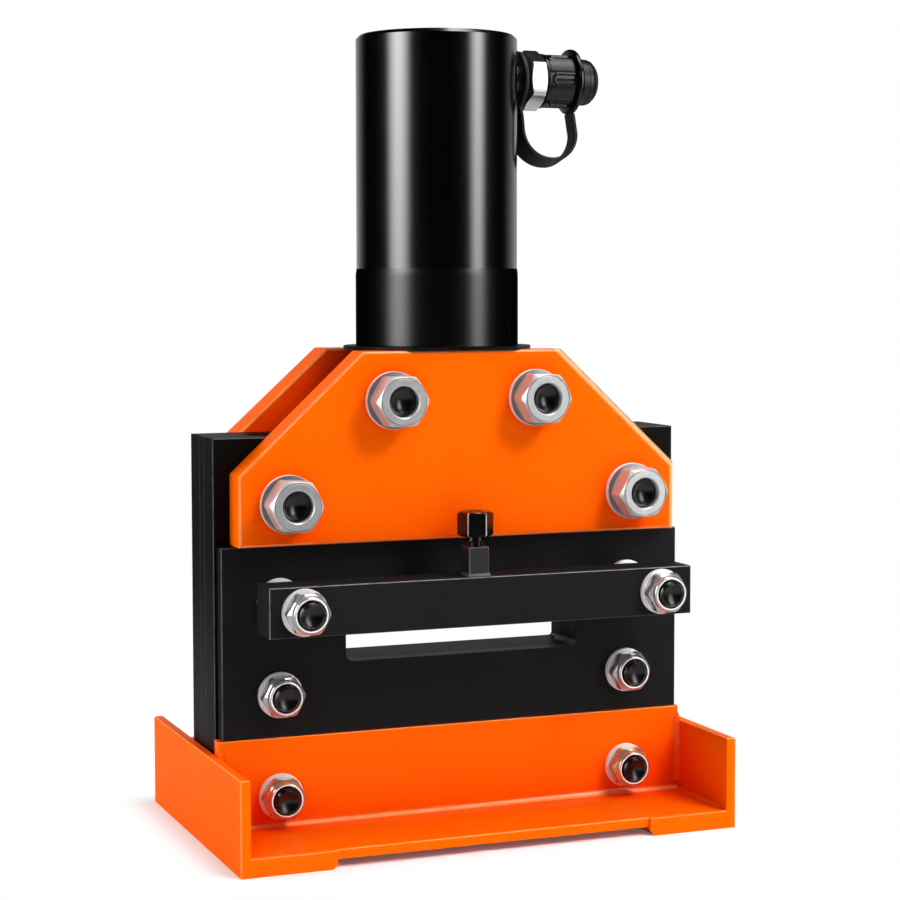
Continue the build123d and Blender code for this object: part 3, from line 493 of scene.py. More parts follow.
# Plate stack: two thick guide plates with spacers between them and the slotted plate in front,
# sawn from steel plate, surface-ground and blackened. The broken edges are painted a lighter grey, partly as
# wear and partly as a painted highlight.
def oxide(name, dark, wear_and_highlight_grey, gloss=0.14, seam=0.0, cut=0.0, lay=(1, 1, 26)):
    """Black oxide on ground steel, with fine strokes. Edges are painted a lighter grey, partly as wear and
    partly as a painted highlight, stronger on edges that face up than on those that face down. Seam is the
    depth of the joints between plates on both sides of the middle, marked by a dark line with a band of the
    edge grey beside it, and cut the grey painted as a highlight on the faces inside the slot that look up."""
    material, sockets, place = finish(name)
    blotch = grain(place, 22)
    strokes = grain(place, 60, 4, lay)
    specks = grain(place, 1500, 2)
    low, high = dark * 0.65, dark * 1.35
    body = tint(place, blotch * 0.5 + strokes * 0.5, (low, low, low * 1.03), (high, high, high * 1.03))
    up = place.make("NewGeometry", out="Normal").axis("Z")
    # Lighter grey on edges, partly wear and partly painted highlight, fainter on edges that face down.
    edge = edges(place) * grain(place, 120).ease(0.25, 0.6, 0.5, 1.0) * up.ease(-0.3, 0.0, 0.2, 1.0)
    colour = tint(place, edge, body, (wear_and_highlight_grey, wear_and_highlight_grey, wear_and_highlight_grey * 1.03))
    if seam:
        depth = place.axis("Y")
        # Beside each joint, a band of the edge grey, partly wear and partly painted highlight, then a dark
        # joint line.
        off = abs(abs(depth) - seam)
        seam_wear_and_highlight = off.ease(0.5 * mm, 0.9 * mm, 0.5, 0.0)
        colour = tint(place, seam_wear_and_highlight, colour, (wear_and_highlight_grey, wear_and_highlight_grey, wear_and_highlight_grey))
        colour = tint(place, off.ease(0.3 * mm, 0.5 * mm, 1.0, 0.0), colour, (0, 0, 0))
    # Painted highlight: the faces inside the slot that look up are painted a lighter grey.
    if cut:
        spot = place.axis("X")
        above_sill = spot.other("Z").ease(slot_low - mm, slot_low)
        inside = above_sill * spot.other("Z").ease(slot_high, slot_high + mm, 1.0, 0.0)
        side = abs(spot.other("X")).ease(0.1, 0.11, 1.0, 0.0)
        colour = tint(place, inside * up.ease(0.2, 0.5) * side, colour, (cut, cut, cut))
    place.put(colour, sockets["Base Color"])
    place.put(0.36 + blotch * 0.08 + strokes * 0.1, sockets["Roughness"])
    place.put(relief(place, strokes + specks * 0.5, 0.02 * mm, 0.3), sockets["Normal"])
    sockets["Specular IOR Level"].default_value = gloss
    return material


slot_low = 110 * mm
slot_high = 136 * mm
blade_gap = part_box("guide_spacer_left")[1].y
slot_oxide = oxide("slot_oxide", dark=0.0085, wear_and_highlight_grey=0.12, gloss=0.08, cut=0.065)
guide_oxide = oxide("guide_oxide", dark=0.0018, wear_and_highlight_grey=0.1, gloss=0.08, seam=blade_gap)
coat(slot_oxide, "front_slot_plate")
coat(guide_oxide, "front_guide_plate", "rear_guide_plate", "guide_spacer_left", "guide_spacer_right")

# Clamp plates: two thick steel plates that tie the cylinder to the stack, bolted on in front and behind.
# They are cut with sloped shoulders, rounded along their edges and sprayed orange.
clamp_corner, clamp_far_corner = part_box("clamp_plate_front")
clamp_half = -clamp_corner.x
clamp_top = clamp_far_corner.z
clamp_shoulder = 227.5 * mm
clamp_top_half = 66 * mm
clamp_round = 2 * mm


def clamp_highlight_rim(place):
    """How far a place on the front plate is past the start of its right-hand rounded edge."""
    slope = Vector((clamp_top - clamp_shoulder, clamp_half - clamp_top_half)).normalized()
    spot = place.axis("X")
    past_side = spot.other("X") - clamp_half
    past_slope = past_side * slope.x + (spot.other("Z") - clamp_shoulder) * slope.y
    past = place.math("MAXIMUM", past_side - 1.2 * mm, past_slope) + clamp_round
    behind = spot.other("Y").ease(clamp_corner.y + mm, clamp_corner.y + 2 * mm)
    return past - behind * 100 * mm


# The front plate's right-hand rounded edge gets a painted highlight band and a painted shadow line.
clamp_paint = paint("clamp_paint", "Y", sheen=0.01, corner_shade=(0.4, 0.95), edge_gloss=True, rim=clamp_highlight_rim)
coat(clamp_paint, "clamp_plate_front", "clamp_plate_rear")

# Clamp bolts: four black M20 bolts put in from the rear, with bright zinc washers and nuts on the front.
# Each bolt ends a little inside its nut, and its end is dished.
black_bolt, sockets, place = finish("black_bolt")
smudge = grain(place, 90)
place.put(tint(place, smudge, (0.001, 0.001, 0.0011), (0.003, 0.003, 0.0032)), sockets["Base Color"])
place.put(0.2 + smudge * 0.06, sockets["Roughness"])
place.put(relief(place, grain(place, 1800, 2), 0.012 * mm, 0.4), sockets["Normal"])
sockets["Specular IOR Level"].default_value = 0.5


def plated(name, face, side, face_metal, side_metal, rough=0.28, painted_tray_reflection=False):
    """Bright zinc, part metal and part film; the faces turned to the front get one colour and metal share,
    and rims, cones and flats another, a split that paints light and shade by which way a face looks. The last
    option, when set, tints the sides low down in the tray a brass tone, a painted reflection of the orange
    tray."""
    material, sockets, place = finish(name)
    mottle = grain(place, 140)
    strokes = grain(place, 700, 2)
    toward = place.make("NewGeometry", out="Normal").axis("Y")
    turned_face = abs(toward).ease(0.9, 0.98)
    shade = face * (0.85 + strokes * 0.3)
    flat = place.make("CombineColor", (), {"Red": shade, "Green": shade, "Blue": shade * 1.01})
    film = tint(place, mottle, (side * 0.92, side * 0.92, side * 0.92), (side, side, side))
    # Painted reflection: sides low down in the tray turn a brass tone, standing in for the orange tray seen
    # in them.
    if painted_tray_reflection:
        level = place.axis("Z")
        film = tint(place, level.ease(45 * mm, 60 * mm, 1.0, 0.0), film, (side, side * 0.8, side * 0.55))
    # Painted light and shade: faces turned to the front and all other faces get separate colours.
    place.put(tint(place, turned_face, film, flat), sockets["Base Color"])
    place.put(side_metal + turned_face * (face_metal - side_metal), sockets["Metallic"])
    place.put(rough + mottle * 0.06, sockets["Roughness"])
    place.put(relief(place, grain(place, 2400, 2), 0.01 * mm, 0.4), sockets["Normal"])
    return material


zinc = plated("zinc", face=0.52, side=0.7, face_metal=0.65, side_metal=0.45)
# The washer face is painted dark as painted shade from the nut, and its rim light as a painted highlight.
dull_zinc = plated("dull_zinc", face=0.22, side=0.97, face_metal=0.6, side_metal=0.05)


def hexagon(flats, blunt):
    """Angles and radii round a hexagon with blunted corners; the middle of a flat is at angle 0."""
    corner = flats / 2 / math.cos(math.pi / 6) - blunt
    last = math.acos(flats / 2 / corner)
    ring = []
    for side in range(6):
        middle_turn = side * math.pi / 3
        for share in (-1, -0.75, -0.5, -0.25, 0, 0.25, 0.5, 0.75, 1):
            turn = last * share
            ring.append((middle_turn + turn, flats / 2 / math.cos(turn)))
        ring.append((middle_turn + math.pi / 6, corner))
    return ring


def circle(sides=64):
    """Angles round a circle, as a ring without an outline of its own."""
    return [(2 * math.pi * i / sides, 0) for i in range(sides)]


def loop(ring, level, radius=0):
    """A loop at a level, on a circle or on the ring's own outline; the level may depend on the outline."""
    points = []
    for angle, outline in ring:
        reach = radius or outline
        height = level(outline) if callable(level) else level
        points.append((reach * math.cos(angle), reach * math.sin(angle), height))
    return points


def stacked(ring, *rows):
    """Loops at levels, each on a circle of a radius or, where that is 0, on the ring's own outline."""
    return [loop(ring, level, radius) for level, radius in rows]


def revolved(profile, sides=64, closed=False):
    """A turned shape from radii and levels."""
    ring = circle(sides)
    return shell([loop(ring, level, radius) for radius, level in profile], closed)


def washer(outer, bore, thickness):
    """A stamped washer with its front rim rounded."""
    rim = [(outer, 0), (outer, thickness - 0.4), (outer - 0.1, thickness - 0.1), (outer - 0.4, thickness)]
    return revolved([(bore, 0), *rim, (bore + 0.4, thickness), (bore, thickness - 0.4)], closed=True)


def nut(flats, height, slope, crown):
    """A hexagon nut turned down on a cone; crown lists radii and drops from the cone into the bore."""
    ring = hexagon(flats, 0.45)
    foot = flats * 0.475
    top, drop = crown[0]
    bore = crown[-1][0]
    loops = stacked(ring, (0, bore), (0, foot), (lambda r: (r - foot) * slope, 0),
                    (lambda r: height - drop - (r - top) * slope, 0))
    loops += [loop(ring, height - fall, radius) for radius, fall in crown]
    return shell(loops, closed=True)


def bolt(flats, head, thread, length, dish, depth):
    """A hexagon bolt with its head below level 0 and a dished end at its length."""
    ring = hexagon(flats, 0.5)
    crown = flats * 0.46
    under = flats * 0.475
    head_loops = stacked(ring, (0.4 - head, crown * 0.55), (-head, crown * 0.62), (-head, crown),
                         (lambda r: (r - crown) * 0.55 - head, 0), (-0.8, 0), (-0.8, under), (0, under))
    shaft = [(thread, -1), (thread, length - 1.5), (thread - 0.15, length - 1.1),
             (thread - 0.9, length - 0.3), (dish + 0.8, length - 0.5), (dish + 0.5, length - 0.1),
             (dish + 0.25, length), (dish, length - 0.15)]
    for share in (0.85, 0.65, 0.45, 0.25, 0.05):
        shaft.append((dish * share, length - 0.15 - depth * (1 - share ** 2)))
    return shell(head_loops), revolved(shaft)


def seat(x, y, z, spin=0):
    """A fastener's place in millimetres: its own Z axis points to the front."""
    turned = Matrix(((1, 0, 0), (0, 0, -1), (0, 1, 0))).to_4x4()
    spot = Matrix.Translation(Vector((x, y, z)) * mm)
    return spot @ turned @ Matrix.Rotation(math.radians(spin), 4, "Z") @ Matrix.Scale(mm, 4)


clamp_front = clamp_corner.y / mm
clamp_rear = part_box("clamp_plate_rear")[1].y / mm
clamp_places = ((-114.5, 210, 27), (114.5, 210, 33), (-47.3, 271, 31), (47.3, 271, 28))
clamp_flats = 30
clamp_washer = 4
clamp_nut_seat = clamp_front - clamp_washer
clamp_nut_height = 17
clamp_reach = clamp_rear - clamp_nut_seat + clamp_nut_height - 3
clamp_crown = ((14.75, 0.3), (14.65, 1.3), (14.05, 1.3), (13.95, 0.15), (13.7, 0), (10.3, 0), (9.6, 0.6),
               (9.55, clamp_nut_height))
bolt_shells = []
washer_shells = []
nut_shells = []
for x, z, spin in clamp_places:
    head, shaft = bolt(clamp_flats, head=12.5, thread=9.3, length=clamp_reach, dish=6.8, depth=2.2)
    bolt_shells += [placed(part, seat(x, clamp_rear, z, spin * 3)) for part in (head, shaft)]
    stamped = washer(outer=17.75, bore=10.5, thickness=clamp_washer)
    washer_shells.append(placed(stamped, seat(x, clamp_front, z)))
    coned = nut(clamp_flats, clamp_nut_height, slope=1.1, crown=clamp_crown)
    nut_shells.append(placed(coned, seat(x, clamp_nut_seat, z, spin)))
piece("clamp_bolts_dished", bolt_shells, black_bolt, "frame", ["clamp_bolts"])
piece("clamp_washers_stamped", washer_shells, dull_zinc, "frame", ["clamp_washers"])
piece("clamp_nuts_coned", nut_shells, zinc, "frame", ["clamp_nuts"], sharp=15)

# Frame bolts and studs: M16, through the tray's webs, the slotted plate and the hold-down bar.
# Their nuts are turned to a rounded crown, and the bolt ends stand a little proud.
frame_zinc = plated("frame_zinc", face=0.8, side=0.95, face_metal=0.25, side_metal=0.1)
nut_zinc = plated("nut_zinc", face=0.95, side=0.6, face_metal=0.1, side_metal=0.7, rough=0.14, painted_tray_reflection=True)
stack_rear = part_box("rear_guide_plate")[1].y / mm
slot_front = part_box("front_slot_plate")[0].y / mm
bar_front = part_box("hold_bar")[0].y / mm
web_rear = web_front / mm
frame_x = 116.7
tray_level = 30
slot_level = 92.4
bar_level = 150
frame_flats = 24
frame_washer = 2.5
frame_nut_height = 12.3
stand = frame_washer + frame_nut_height + 1.8
frame_crown = ((11.3, 3), (11.2, 2), (10.9, 1), (10.5, 0.4), (10, 0.08), (9.6, 0), (9.2, 0.1), (8.85, 0.5),
               (8.8, frame_nut_height))
frame_rows = (("base_bolts", tray_level, web_rear, -web_rear),
              ("frame_bolts", slot_level, stack_rear, slot_front),
              ("hold_bar_studs", bar_level, stack_rear, bar_front))
for name, z, rear, front in frame_rows:
    row_shells = []
    for x in (-frame_x, frame_x):
        head, shaft = bolt(frame_flats, head=10, thread=8, length=rear - front + stand, dish=5.9, depth=1.4)
        row_shells += [placed(part, seat(x, rear, z, 8 + z)) for part in (head, shaft)]
    piece(name + "_dished", row_shells, black_bolt, "frame", [name])
nut_places = [(tray_level, -web_rear), (slot_level, slot_front), (bar_level, slot_front),
              (bar_level, bar_front)]
washer_shells = []
nut_shells = []
spin = 26
for z, front in nut_places:
    for x in (-frame_x, frame_x):
        stamped = washer(outer=14, bore=8.5, thickness=frame_washer)
        washer_shells.append(placed(stamped, seat(x, front, z)))
        crowned = nut(frame_flats, frame_nut_height, slope=1, crown=frame_crown)
        nut_shells.append(placed(crowned, seat(x, front - frame_washer, z, spin)))
        spin = 26 + (spin * 7) % 9
piece("frame_washers_stamped", washer_shells, frame_zinc, "frame", ["frame_washers"])
piece("frame_nuts_coned", nut_shells, nut_zinc, "frame", ["frame_nuts"], sharp=28)

# Hold-down bar: a square bar on two studs with sleeves, sawn and blackened, and a square boss welded on
# top of it for the clamping screw.
bar_oxide = oxide("bar_oxide", dark=0.012, wear_and_highlight_grey=0.22, gloss=0.02)
coat(bar_oxide, "hold_bar", "hold_bar_sleeves")
boss_low, boss_high = (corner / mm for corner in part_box("hold_screw_boss"))
boss_middle = (boss_low + boss_high) / 2
boss_half = (boss_high.x - boss_low.x) / 2


def square(half, blunt):
    """Angles and radii round a square with blunted corners; the middle of a side is at angle 0."""
    last = math.atan((half - blunt) / half)
    ring = []
    for side in range(4):
        for share in (-1, -0.9, -0.7, -0.5, -0.25, 0, 0.25, 0.5, 0.7, 0.9, 1):
            turn = last * share
            ring.append((side * math.pi / 2 + turn, half / math.cos(turn)))
    return ring


def flared(ring, level, flare, rough):
    """A loop of a square pushed outwards, unevenly, for a weld's foot."""
    points = []
    for angle, outline in ring:
        lump = noise.noise((math.cos(angle) * 3, math.sin(angle) * 3, level * 0.7))
        reach = outline + flare * (1 + rough * lump)
        points.append((reach * math.cos(angle), reach * math.sin(angle), level))
    return points


boss_ring = square(boss_half, 0.6)
boss_foot = boss_low.z
boss_top = boss_high.z
boss_bore = 5.2
boss_mouth = 5.8
mouth_low = boss_top - 3.2
boss_loops = [loop(boss_ring, boss_foot, boss_bore)]
for rise, flare, rough in ((0, 1.5, 0.4), (0.6, 0.9, 0.5), (1.2, 0.4, 0.5), (1.9, 0.1, 0.5)):
    boss_loops.append(flared(boss_ring, boss_foot + rise, flare, rough))
boss_loops += stacked(boss_ring, (boss_foot + 2.8, 0), (boss_top - 0.5, 0))
boss_loops.append(flared(boss_ring, boss_top, -0.5, 0))
boss_loops += stacked(boss_ring, (boss_top, boss_mouth + 0.3), (boss_top - 0.3, boss_mouth),
                      (mouth_low, boss_mouth), (mouth_low, boss_bore))
boss_spot = Matrix.Translation((boss_middle.x * mm, boss_middle.y * mm, 0)) @ Matrix.Scale(mm, 4)
boss_oxide = oxide("boss_oxide", dark=0.022, wear_and_highlight_grey=0.11, lay=(26, 26, 1))
welded_boss = placed(shell(boss_loops, closed=True), boss_spot)
piece("hold_screw_boss_welded", [welded_boss], boss_oxide, "frame", ["hold_screw_boss"])

# Clamping screw: a black hexagon-headed screw with a rolled thread, turned down through the boss,
# and the round pad that it carries. The corners of its head are painted a lighter grey as a painted
# highlight.
screw_low, screw_high = (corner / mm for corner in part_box("hold_screw"))
head_top = screw_high.z
head_low = head_top - 15
neck_low = head_low - 3
thread_pitch = 1.5
screw_black, sockets, place = finish("screw_black")
screw_turn = 15
from_axis = place.make("VectorMath", {"operation": "SUBTRACT"}, {0: place, 1: boss_middle * mm})
split = from_axis.axis("X")
sixth = (place.math("ARCTAN2", split.other("Y"), split.other("X")) - math.radians(screw_turn)) * 3 / math.pi
corner = place.math("PINGPONG", sixth, 0.5)
far_out = (split.other("X") ** 2 + split.other("Y") ** 2).ease((9.7 * mm) ** 2, (10 * mm) ** 2)
# Painted highlight: a lighter grey along the corners of the head, broken up by noise.
corner_highlight = corner.ease(0.455, 0.485) * far_out * grain(place, 300).ease(0.2, 0.5, 0.4, 1.0)
screw_oil = tint(place, grain(place, 90), (0.001, 0.001, 0.0011), (0.003, 0.003, 0.0032))
place.put(tint(place, corner_highlight, screw_oil, (0.45, 0.43, 0.42)), sockets["Base Color"])
place.put(0.13 + grain(place, 240) * 0.06, sockets["Roughness"])
place.put(relief(place, grain(place, 1800, 2), 0.012 * mm, 0.4), sockets["Normal"])
sockets["Specular IOR Level"].default_value = 0.5


def threaded(low, high, crest, depth):
    """A rolled right-hand thread between two levels."""
    steps = int((high - low) / thread_pitch * 8)
    sides = 48
    loops = []
    for i in range(steps + 1):
        level = low + (high - low) * i / steps
        ring = []
        for j in range(sides):
            phase = (level / thread_pitch - j / sides) % 1
            reach = crest - depth * (0.5 + 0.5 * math.cos(2 * math.pi * phase))
            angle = 2 * math.pi * j / sides
            ring.append((reach * math.cos(angle), reach * math.sin(angle), level))
        loops.append(ring)
    return shell(loops)


head_flats = 20
head_ring = hexagon(head_flats, 0.35)
crown = 9.4
head_loops = stacked(head_ring, (head_low, 5), (head_low, crown),
                     (lambda r: head_low + 0.15 + (r - crown) * 0.6, 0),
                     (lambda r: head_top - 0.15 - (r - crown) * 0.6, 0), (head_top, crown), (head_top, 4.6),
                     (head_top - 0.3, 4.2))
neck = [(4.7, neck_low), (5.4, neck_low), (5.6, neck_low + 0.25), (5.6, head_low - 0.2), (5.2, head_low)]
screw_spot = Matrix.Translation((boss_middle.x * mm, boss_middle.y * mm, 0))
screw_spot = screw_spot @ Matrix.Rotation(math.radians(screw_turn), 4, "Z") @ Matrix.Scale(mm, 4)
rolled = threaded(screw_low.z, neck_low + 0.1, crest=4.95, depth=0.45)
screw_shells = [placed(part, screw_spot) for part in (rolled, revolved(neck), shell(head_loops))]
piece("hold_screw_threaded", screw_shells, screw_black, "hold_screw", ["hold_screw"])
coat(black_bolt, "pressure_pad")

# Blade, pin, rod and piston: the blade of ground tool steel slides between the guide plates, and the pin
# hangs it on the ground rod that the piston pushes down.
ground_steel, sockets, place = finish("ground_steel")
scratch = grain(place, 90, 3, (26, 1, 1))
place.put(tint(place, scratch, (0.45, 0.45, 0.46), (0.62, 0.62, 0.62)), sockets["Base Color"])
sockets["Metallic"].default_value = 1.0
place.put(0.24 + scratch * 0.2, sockets["Roughness"])
place.put(relief(place, scratch, 0.015 * mm, 0.5), sockets["Normal"])
coat(ground_steel, "moving_blade", "blade_pin", "ram_rod", "piston")

# Cylinder: a mount block between the clamp plates, its flange trimmed flat just past them, a turned and
# blackened collar on it, and a barrel with a hard gloss lacquer and a dull top. The collar's thin lip covers
# the rounded foot of the barrel.
def turned_black(name, dark, light, rough, dull_top=0.0):
    """Black on turned steel, with fine rings all round."""
    material, sockets, place = finish(name)
    haze = grain(place, 30)
    rings = grain(place, 40, 3, (1, 1, 40))
    place.put(tint(place, haze, (dark, dark, dark), (light, light, light)), sockets["Base Color"])
    up = place.make("NewGeometry", out="Normal").axis("Z")
    place.put(rough + haze * 0.03 + rings * 0.03 + up.ease(0.8, 0.97) * dull_top, sockets["Roughness"])
    place.put(relief(place, rings + grain(place, 700, 2), 0.015 * mm, 0.25), sockets["Normal"])
    return material, sockets


barrel_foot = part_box("cylinder_barrel")[0].z
barrel_lacquer, sockets = turned_black("barrel_lacquer", 0.0001, 0.0003, rough=0.15, dull_top=0.8)
sockets["IOR"].default_value = 1.8
coat(barrel_lacquer, "cylinder_barrel")
block_oxide = oxide("block_oxide", dark=0.004, wear_and_highlight_grey=0.025, gloss=0.05)
flange_overhang = 2 * mm
flange_front = clamp_corner.y - flange_overhang
flange_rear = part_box("clamp_plate_rear")[1].y + flange_overhang
block_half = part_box("cylinder_mount_block")[1].x
block_depth = -clamp_far_corner.y
corner_cut = 14 * mm
deeper_cut = 10 * mm


def matches(length, target):
    """Whether a length is another one, to a tenth of a millimetre."""
    return abs(length - target) < 0.1 * mm


def trimmed(point):
    """A point of the mount block, moved where the flange is trimmed or an upper corner is cut deeper."""
    x, y, z = point
    on_block = abs(y) < block_depth + 0.1 * mm
    if on_block and matches(z, clamp_top) and matches(abs(x), block_half - corner_cut):
        x -= math.copysign(deeper_cut, x)
    if matches(abs(x), block_half) and matches(z, clamp_top - corner_cut):
        z -= deeper_cut
    return Vector((x, min(max(y, flange_front), flange_rear), z))


least_area = 1e-3 * mm * mm
block_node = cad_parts["cylinder_mount_block"]
block_points = [trimmed(block_node.matrix_world @ vertex.co) for vertex in block_node.data.vertices]
block_faces = []
for face in block_node.data.polygons:
    start, second, third = (block_points[i] for i in face.vertices[:3])
    if (second - start).cross(third - start).length > least_area:
        block_faces.append(tuple(face.vertices))
piece("cylinder_mount_block_trimmed", [(block_points, block_faces)], block_oxide, "frame",
      ["cylinder_mount_block"])
collar_black, sockets = turned_black("collar_black", 0.045, 0.055, rough=0.22)
sockets["Metallic"].default_value = 1.0
sockets["Specular Tint"].default_value = (0, 0, 0, 1)
collar_low, collar_high = (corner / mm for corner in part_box("cylinder_collar"))
collar_radius = collar_high.x
collar_foot = collar_low.z
collar_bore = 23.3
spigot_bore = 30.05
spigot_top = collar_foot + 19
nose = 41.95
lip = barrel_foot / mm
collar_profile = [(spigot_bore, collar_foot), (collar_radius - 0.5, collar_foot),
                  (collar_radius, collar_foot + 0.5), (collar_radius, lip - 2), (collar_radius - 0.05, lip),
                  (collar_radius - 0.2, lip + 1.5), (collar_radius - 0.4, lip + 2.6),
                  (collar_radius - 0.52, lip + 3.4), (50.95, lip + 2.9), (50.5, lip + 1.6),
                  (49.5, lip + 0.45), (48, lip + 0.05), (nose, lip + 0.05), (nose, collar_high.z),
                  (collar_bore, collar_high.z), (collar_bore, spigot_top), (spigot_bore, spigot_top)]
collar_ring = placed(revolved(collar_profile, 192, closed=True), Matrix.Scale(mm, 4))
piece("cylinder_collar_lipped", [collar_ring], collar_black, "frame", ["cylinder_collar"])

# Seals and wear ring inside the cylinder: moulded rubber rings, and a turned bronze ring that guides the
# piston. The coupler's poppet is turned from the same bronze.
rubber, sockets, place = finish("seal_rubber")
place.put(tint(place, grain(place, 200), (0.008, 0.008, 0.008), (0.02, 0.02, 0.02)), sockets["Base Color"])
place.put(0.6 + grain(place, 400) * 0.2, sockets["Roughness"])
coat(rubber, "rod_seal", "rod_wiper", "barrel_seal", "piston_seal")
bronze, sockets, place = finish("bronze")
place.put(tint(place, grain(place, 150), (0.52, 0.33, 0.13), (0.66, 0.45, 0.2)), sockets["Base Color"])
sockets["Metallic"].default_value = 1.0
place.put(0.28 + grain(place, 300) * 0.15, sockets["Roughness"])
coat(bronze, "piston_wear_ring", "coupler_poppet")

# Springs: coiled from round steel wire. The large one lifts the piston and closes up as the ram comes
# down; the small one closes up as the coupler's poppet goes in.
spring_steel, sockets, place = finish("spring_steel")
place.put(tint(place, grain(place, 150), (0.13, 0.13, 0.14), (0.26, 0.26, 0.27)), sockets["Base Color"])
sockets["Metallic"].default_value = 1.0
place.put(0.3 + grain(place, 300) * 0.2, sockets["Roughness"])


def coil(radius, wire, turns, length):
    """A coil of round wire along Z, starting at level 0."""
    steps = int(turns * 36)
    loops = []
    for i in range(steps + 1):
        turn = 2 * math.pi * turns * i / steps
        level = wire + (length - 2 * wire) * i / steps
        out = Vector((math.cos(turn), math.sin(turn), 0))
        spine = out * radius + Vector((0, 0, level))
        ring = []
        for k in range(10):
            bend = -2 * math.pi * k / 10
            ring.append(spine + out * wire * math.cos(bend) + Vector((0, 0, wire * math.sin(bend))))
        loops.append(ring)
    return shell(loops)


spring_low, spring_high = (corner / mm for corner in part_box("return_spring"))
return_coil = coil(radius=26, wire=3, turns=5, length=spring_high.z - spring_low.z)
return_spot = Matrix.Translation((0, 0, spring_low.z * mm)) @ Matrix.Scale(mm, 4)
made = piece("return_spring_coil", [placed(return_coil, return_spot)], spring_steel, "frame",
             ["return_spring"])
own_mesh(made)
valve_low, valve_high = (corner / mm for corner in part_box("coupler_spring"))
port_level = (valve_low.z + valve_high.z) / 2
along_port = Matrix(((0, 0, 1), (1, 0, 0), (0, 1, 0))).to_4x4()
port = Matrix.Translation((0, 0, port_level * mm)) @ along_port @ Matrix.Scale(mm, 4)
valve_coil = coil(radius=5.5, wire=0.7, turns=6, length=valve_high.x - valve_low.x)
valve_coil = placed(valve_coil, Matrix.Translation((0, 0, valve_low.x)))
made = piece("coupler_spring_coil", [placed(valve_coil, port)], spring_steel, "frame",
             ["coupler_spring"])
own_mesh(made)

# Oil coupler: a steel hexagon adapter screwed into the barrel and the sleeve on it that takes the hose,
# both nickel-plated. The dust cap covers the sleeve.
nickel, sockets, place = finish("nickel")
place.put(tint(place, grain(place, 120), (0.7, 0.69, 0.67), (0.8, 0.79, 0.77)), sockets["Base Color"])
sockets["Metallic"].default_value = 1.0
place.put(0.14 + grain(place, 200) * 0.1, sockets["Roughness"])
coat(nickel, "coupler_sleeve")
adapter_start = 42
neck_start = 51.6
hex_start = 58.5
hex_end = 70
adapter_end = 77.9
spring_seat = 64.5
hex_flats = 34
hex_crown = 16.4
adapter_ring = hexagon(hex_flats, 0.5)
adapter_loops = stacked(adapter_ring, (adapter_start, 6), (adapter_start, 8.4), (neck_start, 8.4),
                        (neck_start, 11), (hex_start, 11), (hex_start, hex_crown - 0.3),
                        (hex_start + 0.15, hex_crown),
                        (lambda r: hex_start + 0.15 + (r - hex_crown) * 0.5, 0),
                        (lambda r: hex_end - 0.15 - (r - hex_crown) * 0.5, 0), (hex_end - 0.15, hex_crown),
                        (hex_end, hex_crown - 0.3), (hex_end, 10), (adapter_end, 9.9), (adapter_end, 8),
                        (spring_seat, 8), (spring_seat, 6))
piece("coupler_adapter_plated", [placed(shell(adapter_loops, closed=True), port)], nickel, "frame",
      ["coupler_adapter"])

# Dust cap: moulded black plastic that snaps over the sleeve, with six finger slots and a round knob.
# The end ring of its strap sits in the groove behind the knob.
def moulded(name, skirt_rough, knob_rough):
    """Black plastic, duller on the knob than on the skirt."""
    material, sockets, place = finish(name)
    colour = tint(place, grain(place, 200), (0.0015, 0.0015, 0.0017), (0.003, 0.003, 0.0032))
    place.put(colour, sockets["Base Color"])
    outward = place.axis("X")
    rough = outward.ease(93 * mm, 97 * mm, skirt_rough, knob_rough)
    place.put(rough + grain(place, 500) * 0.06, sockets["Roughness"])
    place.put(relief(place, grain(place, 2200, 2), 0.02 * mm, 0.3), sockets["Normal"])
    sockets["Specular IOR Level"].default_value = 0.45
    return material


plastic = moulded("black_plastic", skirt_rough=0.12, knob_rough=0.32)
slot_half = 3.2
slot_end = 74.5
skirt = 17


def skirt_loop(level):
    """A loop of the slotted skirt: a slot has a rounded end, a raised rim and a thin rib along its middle."""
    sides = 288
    points = []
    for i in range(sides):
        angle = 2 * math.pi * i / sides
        off = (angle + math.pi / 6) % (math.pi / 3) - math.pi / 6
        across = off * skirt
        before = min(0, level - slot_end - slot_half)
        away = math.hypot(across, before) - slot_half
        rim = 0.35 * max(0, 1 - abs(away - 0.35) / 0.7)
        sunk = min(1, max(0, -away / 0.5))
        rib = max(0, 1 - abs(across) / 0.8) if level > slot_end + 1.5 else 0
        reach = skirt + rim - sunk * (1 - 0.7 * rib)
        points.append((reach * math.cos(angle), reach * math.sin(angle), level))
    return points


cap_ring = circle(288)
cap_bore = 13.3
cap_mouth = 70.6
cap_floor = 87.3
inside_cap = [(0.02, cap_floor), (cap_bore, cap_floor), (cap_bore, cap_mouth)]
cap_lip = [(16.9, cap_mouth), (17.3, 70.9), (17.4, 71.6), (17.3, 72.3), (17, 72.7)]
cap_loops = [loop(cap_ring, level, radius) for radius, level in inside_cap + cap_lip]
cap_loops += [skirt_loop(73 + 0.4 * i) for i in range(43)]
knob = [(16.4, 90.3), (12, 90.3), (12, 93.9), (13.7, 93.9), (14, 94.2), (14, 96), (13.7, 96.3), (14.4, 96.3),
        (14.8, 96.7), (14.8, 100.3), (14.45, 100.5), (14.45, 100.9), (14.8, 101.1)]
dome_start = 101.3
dome = 8
for i in range(17):
    turn = math.pi / 2 * i / 16
    step = 0.35 if turn > 0.5 else 0
    knob.append((6.8 - step + dome * math.cos(turn), dome_start + dome * math.sin(turn)))
knob += [(5.6, 109.3), (5.2, 109.1), (0.02, 109.1)]
cap_loops += [loop(cap_ring, level, radius) for radius, level in knob]
cap = placed(shell(cap_loops), port)
piece("dust_cap_moulded", [cap], plastic, "dust_cap", ["dust_cap"])
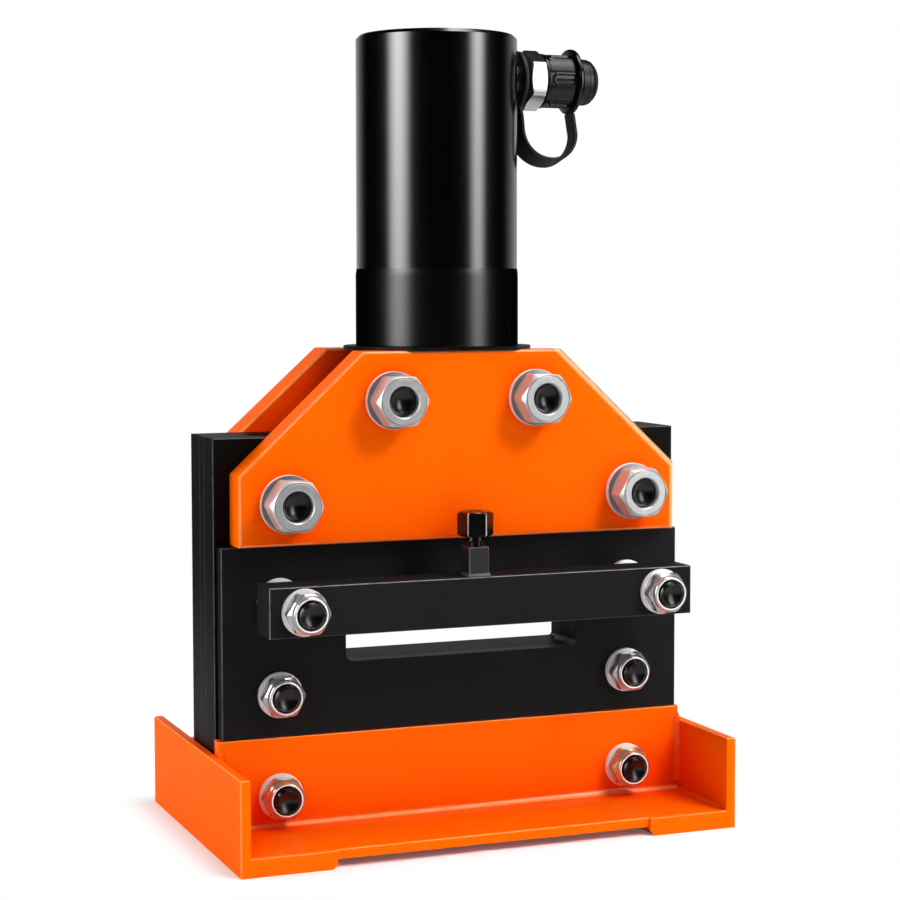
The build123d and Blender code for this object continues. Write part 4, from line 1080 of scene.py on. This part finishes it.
end_profile = [(12.3, 90.7), (20.2, 90.6), (20.7, 90.9), (20.9, 91.4), (20.9, 92.8), (20.7, 93.3),
               (20.2, 93.6), (12.3, 93.5)]
end_ring = placed(revolved(end_profile, 96, closed=True), port)
piece("strap_end_ring_moulded", [end_ring], plastic, "dust_cap", ["strap_end_ring"])

# Strap: a moulded band with a ring on the coupler's neck; it hangs in a loop up to the cap's end ring
# and opens out when the cap is pulled off.
strap_plastic = moulded("strap_plastic", skirt_rough=0.5, knob_rough=0.5)
strap_low = 420
left_x = 55.05
left_bend = 22
right_x = 94.7
right_bend = right_x - left_x - left_bend
band_half = 6
band_thick = 2.4
strap_twist = 38
path = [(left_x, 456 - i) for i in range(0, 14, 2)]
for i in range(15):
    turn = math.pi / 2 * i / 14
    path.append((left_x + left_bend * (1 - math.cos(turn)), strap_low + left_bend * (1 - math.sin(turn))))
for i in range(1, 15):
    turn = math.pi / 2 * i / 14
    path.append((right_x - right_bend * (1 - math.sin(turn)), strap_low + right_bend * (1 - math.cos(turn))))
path += [(94.2, 441), (93.4, 446), (92.5, 451.5)]
band_loops = []
for i, (x, z) in enumerate(path):
    before = path[max(0, i - 1)]
    after = path[min(len(path) - 1, i + 1)]
    along = Vector((after[0] - before[0], 0, after[1] - before[1])).normalized()
    share = i / (len(path) - 1)
    lean = math.radians(strap_twist) * math.sin(math.pi * share ** 0.55) ** 2
    flat = Vector((0, -math.cos(lean), 0)) + along.cross(Vector((0, 1, 0))) * math.sin(lean)
    thick = along.cross(flat)
    ring = []
    for a, b in ((-1, -0.5), (-1, 0.5), (-0.92, 1), (0.92, 1), (1, 0.5), (1, -0.5), (0.92, -1), (-0.92, -1)):
        ring.append(Vector((x, 0, z)) + flat * band_half * a + thick * band_thick / 2 * b)
    band_loops.append(ring)
neck_profile = [(11.3, 53.65), (17.8, 53.55), (18.2, 53.75), (18.4, 54.25), (18.4, 55.85), (18.2, 56.35),
                (17.8, 56.55), (11.3, 56.45)]
neck_ring = placed(revolved(neck_profile, 96, closed=True), port)
band = placed(shell(band_loops), Matrix.Scale(mm, 4))
made = piece("dust_cap_strap_moulded", [neck_ring, band], strap_plastic, "",
             ["dust_cap_strap"])
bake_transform(made)
